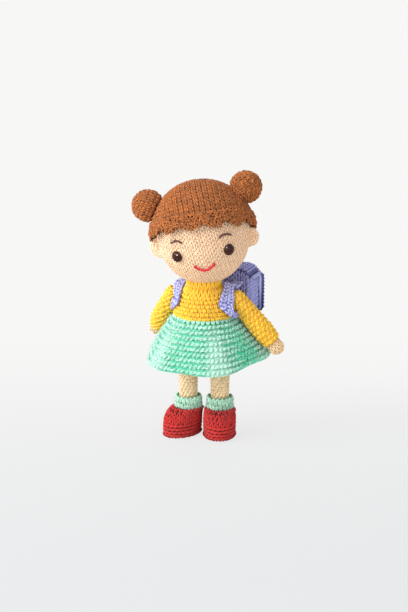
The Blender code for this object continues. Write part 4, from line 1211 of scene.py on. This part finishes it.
def make_arm(side, label, out, sweep):
    """A stuffed arm: the jumper's sleeve in chunky slanted stitches, and a small round hand."""
    on_sleeve, on_hand = ("arm_" + label, "jumper_yarn"), ("arm_" + label, "face_yarn")
    way = Vector((side * math.sin(out) * math.cos(sweep), math.sin(out) * math.sin(sweep),
                  -math.cos(out)))
    arm = BODY @ aim(arm_pivot(side), way)
    stuff("sleeve_stuffed_" + label, on_sleeve, sleeve_surface(0.0), arm, JUMPER_YARN,
          ("sleeve_" + label, "arm_stuffing_" + label), depth=0.1, end=0.99)
    surface = sleeve_surface(SLEEVE_PLUMP)
    stitches = work("sleeve_stitches_" + label, on_sleeve, surface,
                    even_rounds(surface, 2.5, 0.0, 0.97), arm, JUMPER_YARN, "knot", height=2.6,
                    width=2.9, shift=0.5, depth=1.05, loose=12.0)
    grow_fuzz("sleeve_fuzz_" + label, on_sleeve, stitches, JUMPER_YARN, per_mm2=0.8, length=0.5)
    tip = arc(HAND_HEIGHT, HAND_RADIUS, 0.0, math.pi / 2.0, 8)
    surface = turned_surface(tip + [(HAND_RADIUS - GAP, HAND_HEIGHT - 3.3)])
    stuff("hand_stuffed_" + label, on_hand, surface, arm, HAND_YARN, ("hand_" + label,),
          depth=0.55, rows=12, start=0.02)
    work("hand_stitches_" + label, on_hand, surface, even_rounds(surface, 2.2, 0.04, 1.0), arm,
         HAND_YARN, "vee", height=2.4, width=2.5, depth=0.6)


# Backpack

ON_POUCH = ("torso", "pack_yarn")
ON_FLAP = ("pack_flap", "pack_yarn")
ON_EDGING = ("pack_flap", "edging_yarn")
PACK_MIDDLE = 1.5
PACK_HALF_WIDTH = 17.2
PACK_FRONT = 18.2
PACK_BACK = 34.8
PACK_BOTTOM = 62.1
PACK_TOP = 85.8
PACK_CORNER = 2.6
PACK_ROUND = 6.2
PACK_SAG = 4.4
PACK_SAG_HEIGHT = 14.0
FLAP_THICKNESS = 1.6
FLAP_BEND = 4.6
FLAP_BOTTOM = 64.0
FLAP_SLACK = 2.2
FLAP_SEAM = 6.0
FLAP_MIDDLE_HEIGHT = 74.0
EDGING_RADIUS = 0.7
EDGING_CORNER = 1.4
LIP_RADIUS = 0.85


def rounded_box_point(half_width, front, back, corner, turn):
    """A point of a rounded rectangle by its turn, which runs evenly along its length."""
    wide = 2.0 * half_width - 2.0 * corner
    deep = back - front - 2.0 * corner
    bend = corner * math.pi / 2.0
    total = 2.0 * (wide + deep) + 4.0 * bend
    along = ((turn % (2.0 * math.pi)) / (2.0 * math.pi) * total + wide / 2.0) % total
    runs = [(wide, (-half_width + corner, front), (1, 0)),
            (bend, (half_width - corner, front + corner), (0, -1)),
            (deep, (half_width, front + corner), (0, 1)),
            (bend, (half_width - corner, back - corner), (1, 0)),
            (wide, (half_width - corner, back), (-1, 0)),
            (bend, (-half_width + corner, back - corner), (0, 1)),
            (deep, (-half_width, back - corner), (0, -1)),
            (bend, (-half_width + corner, front + corner), (-1, 0))]
    for index, (length, start, way) in enumerate(runs):
        if along <= length or index == len(runs) - 1:
            if index % 2 == 0:
                return start[0] + way[0] * along, start[1] + way[1] * along
            angle = along / length * math.pi / 2.0
            side = (-way[1], way[0])
            return (start[0] + corner * (way[0] * math.cos(angle) + side[0] * math.sin(angle)),
                    start[1] + corner * (way[1] * math.cos(angle) + side[1] * math.sin(angle)))
        along -= length


def soft_corner(across, depth, height):
    """A point of the backpack, let down where its fabric rounds off the top corners."""
    reach = (abs(across) - (PACK_HALF_WIDTH - PACK_ROUND)) / PACK_ROUND
    reach = min(max(reach, 0.0), 1.0)
    high = min(max((height - PACK_TOP + PACK_SAG_HEIGHT) / PACK_SAG_HEIGHT, 0.0), 1.0)
    sag = PACK_SAG * high * (1.0 - math.sqrt(1.0 - reach ** 2))
    return Vector((PACK_MIDDLE + across, depth, height - sag))


def round_off(radius, over):
    """How far a rounded edge draws in, at some way over where its bend starts."""
    return radius - math.sqrt(max(radius ** 2 - max(over, 0.0) ** 2, 0.0))


def pouch_surface(turn, share):
    """The pouch's wall from its rounded top edge down round its foot."""
    height = PACK_TOP - (PACK_TOP - PACK_BOTTOM) * share
    back = PACK_BACK - round_off(FLAP_BEND, height - (PACK_TOP - FLAP_BEND))
    pull = round_off(PACK_CORNER, PACK_BOTTOM + PACK_CORNER - height)
    across, depth = rounded_box_point(PACK_HALF_WIDTH - pull, PACK_FRONT + pull, back - pull,
                                      PACK_CORNER, turn)
    return soft_corner(across, depth, height)


pouch_surface.length = PACK_TOP - PACK_BOTTOM


def make_pouch():
    """The open-topped pouch: a lined wall with rounds of lilac stitches."""
    shares = [row / 18 for row in range(19)]
    outer = inset_loops(pouch_surface, shares, BACKING_DEPTH, 88)
    inner = inset_loops(pouch_surface, shares[:-1], 1.5, 88)
    backing = loft("pouch_backing", list(reversed(inner)) + outer, BODY, PACK_YARN,
                   middle_of(inner[-1]), middle_of(outer[-1]))
    put_on(backing, ON_POUCH, "backpack_pouch")
    stitches = work("pouch_stitches", ON_POUCH, pouch_surface,
                    even_rounds(pouch_surface, 2.75, 0.02, 0.98), BODY, PACK_YARN, "vee",
                    height=2.9, width=2.95)
    grow_fuzz("pouch_fuzz", ON_POUCH, stitches, PACK_YARN, per_mm2=0.42, length=0.45)


def flap_path(lift):
    """Depth and height along the flap, from its hinge over the top and down the back."""
    inner_back = PACK_BACK + GAP
    inner_top = PACK_TOP + GAP
    points = [(PACK_FRONT, inner_top + lift), (PACK_FRONT + FLAP_SEAM, inner_top + lift)]
    for angle in np.linspace(0.0, math.pi / 2.0, 9):
        points.append((inner_back - FLAP_BEND + (FLAP_BEND + lift) * math.sin(angle),
                       inner_top - FLAP_BEND + (FLAP_BEND + lift) * math.cos(angle)))
    return points + [(inner_back + lift, FLAP_MIDDLE_HEIGHT),
                     (inner_back + lift, FLAP_BOTTOM - FLAP_SLACK)]


def flap_stitch_places(half):
    """Rows of stitches across the flap, from its hinge down to its foot."""
    top = flap_path(FLAP_THICKNESS)
    length = run_lengths(top)[-1]
    rows = round(length / 2.75)
    columns = round(2.0 * half / 2.9)
    size = (2.0 * half / columns / 3.0, length / rows * 1.05 / 3.0, 1.0)
    places = []
    for row in range(rows):
        share = (row + 0.5) / rows
        depth, height = point_along(top, share)
        ahead = point_along(top, min(share + 0.01, 1.0))
        behind = point_along(top, max(share - 0.01, 0.0))
        for column in range(columns):
            x = half * (2.0 * (column + 0.5) / columns - 1.0)
            across = (soft_corner(x - 0.2, depth, height)
                      - soft_corner(x + 0.2, depth, height)).normalized()
            upward = Vector((0.0, behind[0] - ahead[0], behind[1] - ahead[1]))
            outward = across.cross(upward).normalized()
            ways = (across, outward.cross(across), outward)
            places.append(stitch_at(BODY, soft_corner(x, depth, height), ways, size))
    return places


def make_flap():
    """The flap: a lined cover over the top and down the back, its stitches and its two lips."""
    half = PACK_HALF_WIDTH - GAP
    steps = [step / 30 for step in range(31)]
    section = [point_along(flap_path(FLAP_THICKNESS - 1.1), share) for share in steps]
    section += [point_along(flap_path(0.0), share) for share in reversed(steps)]
    loops = [[soft_corner(half * (1.0 - 2.0 * share), *point) for point in section]
             for share in steps]
    backing = loft("flap_backing", loops, BODY, PACK_YARN, middle_of(loops[0]),
                   middle_of(loops[-1]))
    put_on(backing, ON_FLAP, "backpack_flap")
    lay_stitches("flap_stitches", ON_FLAP, flap_stitch_places(half), "vee", PACK_YARN)
    lip = flap_path(-0.35)[1:]
    lip.append((lip[-1][0] - 0.2, FLAP_BOTTOM - FLAP_SLACK - 0.2))
    for side, label in ((-1.0, "right"), (1.0, "left")):
        route = [soft_corner(side * (PACK_HALF_WIDTH + 0.1), *point) for point in lip]
        yarn_cord("flap_lip_" + label, ON_FLAP, route, LIP_RADIUS, BODY, PALE_PACK_YARN)


def edging_route():
    """The edging's points, up one side of the flap, across its foot and back, and how many
    of them lie over the backpack's top at each end."""
    middle = flap_path(FLAP_THICKNESS / 2.0)
    back = middle[-1][0]
    middle[-1] = (back, FLAP_BOTTOM)
    rim = PACK_HALF_WIDTH + 1.1
    route = [(rim, depth, height) for depth, height in middle]
    for turn in np.linspace(0.0, math.pi / 2.0, 5):
        route.append((rim - EDGING_CORNER * (1.0 - math.cos(turn)), back,
                      FLAP_BOTTOM - EDGING_CORNER - EDGING_CORNER * math.sin(turn)))
    route += [(-x, depth, height) for x, depth, height in reversed(route)]
    top = sum(1 for depth, height in middle if height > PACK_TOP - 1.2)
    return [soft_corner(*point) for point in route], top


def make_edging():
    """The flap's dark edging: a cord with a close row of small loops round it. Over the
    backpack's top, where it faces up into the light, the cord is drawn in the flap's paler
    lilac yarn as a painted highlight and has no loops."""
    path, top = edging_route()
    yarn_cord("edging_cord", ON_EDGING, path[top - 1:len(path) - top + 1], EDGING_RADIUS, BODY,
              EDGING_YARN, "flap_edging")
    # Painted highlight: the cord's two top parts, which face up into the light, take the flap's
    # paler lilac yarn.
    yarn_cord("edging_top_left", ON_FLAP, path[:top], EDGING_RADIUS, BODY, PACK_YARN)
    yarn_cord("edging_top_right", ON_FLAP, path[len(path) - top:], EDGING_RADIUS, BODY,
              PACK_YARN)
    places = []
    count = round(run_lengths(path)[-1] / 1.9)
    centre = Vector((PACK_MIDDLE, PACK_FRONT + FLAP_SEAM, FLAP_MIDDLE_HEIGHT))
    for k in range(count):
        here = Vector(point_along(path, (k + 0.45) / count))
        if here.z > PACK_TOP - PACK_SAG - 1.2:
            continue
        along = (Vector(point_along(path, (k + 0.55) / count)) - here).normalized()
        away = here - centre
        outward = (away - along * away.dot(along)).normalized()
        places.append(stitch_at(BODY, here + outward * 1.1,
                                (along, outward.cross(along), outward), (0.7, 0.75, 0.7)))
    lay_stitches("edging_loops", ON_EDGING, places, "knot", EDGING_YARN, loose=6.0)


# Shoulder straps

STRAP_HALF_WIDTH = 2.9
STRAP_THICKNESS = 1.3
STRAP_RISE = 2.6
STRAP_STEPS = 90
STRAP_PITCH = 2.0


def jumper_radius(height):
    line = np.array(list(reversed(jumper_profile())))
    return float(np.interp(height, line[:, 1], line[:, 0]))


def side_place(side, turn, radius, height):
    return round_point(side * turn, radius, height)


def strap_edges(side, chest_turn, inward):
    """The strap's neck-side and arm-side edges. They follow the frame's own straps, drawn in
    to the neck over the shoulder and up under the arm."""
    lift = GAP + STRAP_THICKNESS / 2.0
    width = 2.0 * STRAP_HALF_WIDTH
    pivot = arm_pivot(side)
    ball = SLEEVE_TOP_RADIUS + lift + GAP
    lane = side * (PIVOT_ACROSS - width)
    panel = PACK_FRONT - lift
    pack_lane = PACK_MIDDLE + side * (PACK_HALF_WIDTH - width)
    stations = [(Vector((pack_lane - side * STRAP_HALF_WIDTH, panel, PACK_TOP - width)),
                 Vector((pack_lane + side * STRAP_HALF_WIDTH, panel, PACK_TOP - width)))]
    for degrees, raised in ((-42.0, 2.0), (-21.0, 2.8), (0.0, 3.0), (30.0, 1.8)):
        swing = math.radians(degrees)
        rise = pivot.z + ball * math.cos(swing)
        depth = PIVOT_BACK - ball * math.sin(swing)
        stations.append((Vector((lane - side * raised * (0.5 + 0.12 * inward), depth,
                                 rise + lift * 0.4 + raised)),
                         Vector((pivot.x - side * raised * 0.6, depth, rise + raised * 0.6))))
    for rise_share, degrees in ((0.52, 62.0), (0.0, 92.0)):
        height = pivot.z + ball * rise_share + lift * 0.4
        body = jumper_radius(height) + 1.7 * lift
        swing = math.radians(degrees)
        near_lane = lane - side * inward
        stations.append((Vector((near_lane,
                                 -math.sqrt(max(body ** 2 - near_lane ** 2, ball ** 2)),
                                 height)),
                         Vector((pivot.x - side * inward,
                                 PIVOT_BACK - ball * 1.02 * math.sin(swing),
                                 pivot.z + ball * math.cos(swing)))))
    chest = (pivot.z + WAIST_HEIGHT) / 2.0 + STRAP_RISE
    stations.append((side_place(side, chest_turn, jumper_radius(chest) + 1.4 * lift, chest),
                     side_place(side, chest_turn + math.radians(22.0), 19.0 - inward,
                                chest + lift)))
    upper = WAIST_HEIGHT + 1.4 * lift + STRAP_RISE + 0.5 * inward
    for degrees, far_radius in ((72.0, 20.3 - 1.5 * inward), (97.0, 18.4 - 0.5 * inward),
                                (122.0, 17.2)):
        turn = math.radians(degrees)
        stations.append((side_place(side, turn, 19.2 - inward, upper - width * 0.5),
                         side_place(side, turn, far_radius, upper)))
    foot_lane = pack_lane + side * STRAP_HALF_WIDTH * 0.7
    stations.append((Vector((foot_lane, panel, PACK_BOTTOM + lift)),
                     Vector((foot_lane - side * lift, panel,
                             PACK_BOTTOM + lift + width * 0.8))))
    return stations


def make_strap(side, label, chest_turn, inward):
    """A shoulder strap: a flat band with two columns of small stitches on both faces."""
    stations = strap_edges(side, chest_turn, inward)
    near, far = ([Vector(p) for p in smooth_path(edge, STRAP_STEPS)] for edge in zip(*stations))
    thin = STRAP_THICKNESS / 2.0
    loops, frames = [], []
    for index in range(len(near)):
        ahead, behind = min(index + 1, STRAP_STEPS), max(index - 1, 0)
        along = (near[ahead] + far[ahead] - near[behind] - far[behind]).normalized()
        across = (far[index] - near[index]).normalized()
        outer = along.cross(across).normalized() * side
        loop = [near[index] - outer * thin, near[index] + outer * (thin - 0.5),
                far[index] + outer * (thin - 0.5), far[index] - outer * thin]
        if side > 0.0:
            loop.reverse()
        loops.append(loop)
        frames.append((along, outer))
    band = loft("strap_band_" + label, loops, BODY, STRAP_YARN, middle_of(loops[0]),
                middle_of(loops[-1]))
    put_on(band, ON_POUCH, "strap_" + label)

    lengths = run_lengths([(a + b) / 2.0 for a, b in zip(near, far)])
    places = []
    for row in range(int(lengths[-1] / STRAP_PITCH)):
        place = np.interp((row + 0.5) * STRAP_PITCH, lengths, np.arange(STRAP_STEPS + 1))
        index = min(int(round(float(place))), STRAP_STEPS)
        along, outer = frames[index]
        size = ((far[index] - near[index]).length / 6.2, STRAP_PITCH * 1.08 / 3.0, 0.7)
        for column, face in ((-1.0, 1.0), (1.0, 1.0), (-1.0, -1.0), (1.0, -1.0)):
            outward = outer * face
            point = near[index].lerp(far[index], 0.5 + column / 4.0) + outward * thin
            places.append(stitch_at(BODY, point, ((-along).cross(outward), -along, outward),
                                    size))
    lay_stitches("strap_stitches_" + label, ON_POUCH, places, "vee", STRAP_YARN, loose=3.0)


# Rigid pieces that stay as the frame has them

def finish_frame_nodes():
    """Better materials on the eyes, their washers, the insoles and the neck rod."""
    finishes = {"eye_left": EYE_PLASTIC, "eye_right": EYE_PLASTIC,
                "eye_washer_left": EYE_PLASTIC, "eye_washer_right": EYE_PLASTIC,
                "insole_left": CARD, "insole_right": CARD, "neck_rod": WOOD}
    for node, material in finishes.items():
        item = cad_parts[node]
        item.data.materials.clear()
        item.data.materials.append(material)


# Floor, light and camera, in metres

CAMERA_AZIMUTH = math.radians(21.0)
CAMERA_ELEVATION = math.radians(15.0)
CAMERA_DISTANCE = 0.7526
CAMERA_LENS = 85.0
AIM_HEIGHT = 0.0698
LAMP_AIM_HEIGHT = 0.07
BACKGROUND = (247, 247, 246)
FLOOR_GLOW = 0.75
FLOOR_HALF_SIZE = 6.0
NEAR_FLOOR = (229, 230, 231)
ROOM_LIGHT = 0.72


def seen_directly(tree):
    """1 for rays from the camera, mirror-like reflections and clear materials, else 0."""
    seen = add_node(tree, "ShaderNodeLightPath").outputs
    total = maths(tree, "MAXIMUM", seen["Is Camera Ray"], seen["Is Glossy Ray"])
    return maths(tree, "MAXIMUM", total, seen["Is Transmission Ray"])


def blend_shaders(tree, factor, first, second, end):
    """Puts a blend of two shaders out at the end node."""
    blend = add_node(tree, "ShaderNodeMixShader", {0: factor, 1: first, 2: second})
    set_inputs(tree, tree.nodes[end], {"Surface": blend.outputs["Shader"]})


def floor_material():
    """A pale matt floor that grows lighter behind the doll and far from her."""
    material, tree, shader = new_material("pale_studio_floor")
    tone = two_tones(tree, grain(tree, 60.0), (0.70, 0.706, 0.716, 1.0),
                     (0.72, 0.726, 0.736, 1.0))
    set_inputs(tree, shader, {"Base Color": tone, "Roughness": 0.8})
    place = own_place(tree)
    behind = add_node(tree, "ShaderNodeVectorMath", {
        0: place, 1: (-math.sin(CAMERA_AZIMUTH), math.cos(CAMERA_AZIMUTH), 0.0)},
        operation="DOT_PRODUCT")
    away = add_node(tree, "ShaderNodeVectorMath", {0: place}, operation="LENGTH")
    far = maths(tree, "MAXIMUM", fade(tree, behind.outputs["Value"], -0.20, 0.20),
                fade(tree, away.outputs["Value"], 0.25, 0.9))
    glow_colour = mix_colours(tree, far, srgb(*NEAR_FLOOR), srgb(*BACKGROUND))
    glow = add_node(tree, "ShaderNodeEmission", {"Color": glow_colour}).outputs["Emission"]
    share = maths(tree, "MULTIPLY", fade(tree, far, 0.0, 1.0, FLOOR_GLOW), seen_directly(tree))
    blend_shaders(tree, share, shader.outputs["BSDF"], glow, "Material Output")
    return material


def make_floor():
    size = FLOOR_HALF_SIZE
    mesh = bpy.data.meshes.new("floor")
    mesh.from_pydata([(-size, -size, 0.0), (size, -size, 0.0), (size, size, 0.0),
                      (-size, size, 0.0)], [], [(0, 1, 2, 3)])
    mesh.materials.append(floor_material())
    new_object("floor", mesh)


def make_world():
    world = bpy.data.worlds.new("pale_room")
    bpy.context.scene.world = world
    world.use_nodes = True
    tree = world.node_tree
    room = tree.nodes["Background"]
    set_inputs(tree, room, {"Color": (1.0, 1.0, 1.0, 1.0), "Strength": ROOM_LIGHT})
    shown = add_node(tree, "ShaderNodeBackground", {"Color": srgb(*BACKGROUND), "Strength": 1.0})
    blend_shaders(tree, seen_directly(tree), room.outputs["Background"],
                  shown.outputs["Background"], "World Output")


def make_lamp(name, place, power, size):
    """A round soft lamp that points at the doll's middle."""
    lamp = bpy.data.lights.new(name, "AREA")
    lamp.energy = power
    lamp.shape = "DISK"
    lamp.size = size
    item = new_object(name, lamp)
    item.location = place
    item.rotation_euler = (Vector((0.0, 0.0, LAMP_AIM_HEIGHT)) - Vector(place)).to_track_quat(
        "-Z", "Y").to_euler()
    return item


def make_lights():
    """The room's light, a key from the photo's left, a weak fill, and a light for the eyes'
    reflections alone."""
    make_world()
    make_lamp("key_softbox", (-1.00, -0.85, 0.90), power=24.0, size=1.1)
    make_lamp("fill_softbox", (0.95, -0.90, 0.45), power=2.0, size=0.9)
    eye_light = make_lamp("eye_light", (-0.13, -1.07, 0.63), power=40.0, size=0.60)
    eye_light.visible_diffuse = False


def make_camera():
    """The photograph's view: from her left and a little above. Her axis stands in the middle
    of the picture's width."""
    data = bpy.data.cameras.new("photo_camera")
    data.lens = CAMERA_LENS
    data.clip_start = 0.05
    data.clip_end = 20.0
    camera = new_object("photo_camera", data)
    back = round_point(CAMERA_AZIMUTH, math.cos(CAMERA_ELEVATION), math.sin(CAMERA_ELEVATION))
    camera.location = Vector((AXIS.x, AXIS.y, AIM_HEIGHT)) + back * CAMERA_DISTANCE
    camera.rotation_euler = (-back).to_track_quat("-Z", "Y").to_euler()
    bpy.context.scene.camera = camera
    bpy.context.scene.view_settings.view_transform = "Standard"


make_face()
make_hair_cap()
make_fringe()
make_bun(-26.2, "right", rise=20.3)
make_bun(24.9, "left", rise=23.0)
make_ear(-1.0, "right", rise=1.1)
make_ear(1.0, "left", rise=0.0)
make_embroidery()
make_jumper()
make_hips()
make_skirt()
make_leg(-8.9, 0.0, "right", foot_turn=math.radians(-22.0))
make_leg(7.5, 4.0, "left", foot_turn=math.radians(18.0))
make_arm(-1.0, "right", out=math.radians(43.0), sweep=math.radians(42.0))
make_arm(1.0, "left", out=math.radians(39.5), sweep=math.radians(15.0))
make_pouch()
make_flap()
make_edging()
make_strap(-1.0, "right", chest_turn=math.radians(40.0), inward=2.4)
make_strap(1.0, "left", chest_turn=math.radians(52.0), inward=0.0)
finish_frame_nodes()
for shape in SHAPES.values():
    bpy.data.objects.remove(shape, do_unlink=True)
make_floor()
make_lights()
make_camera()
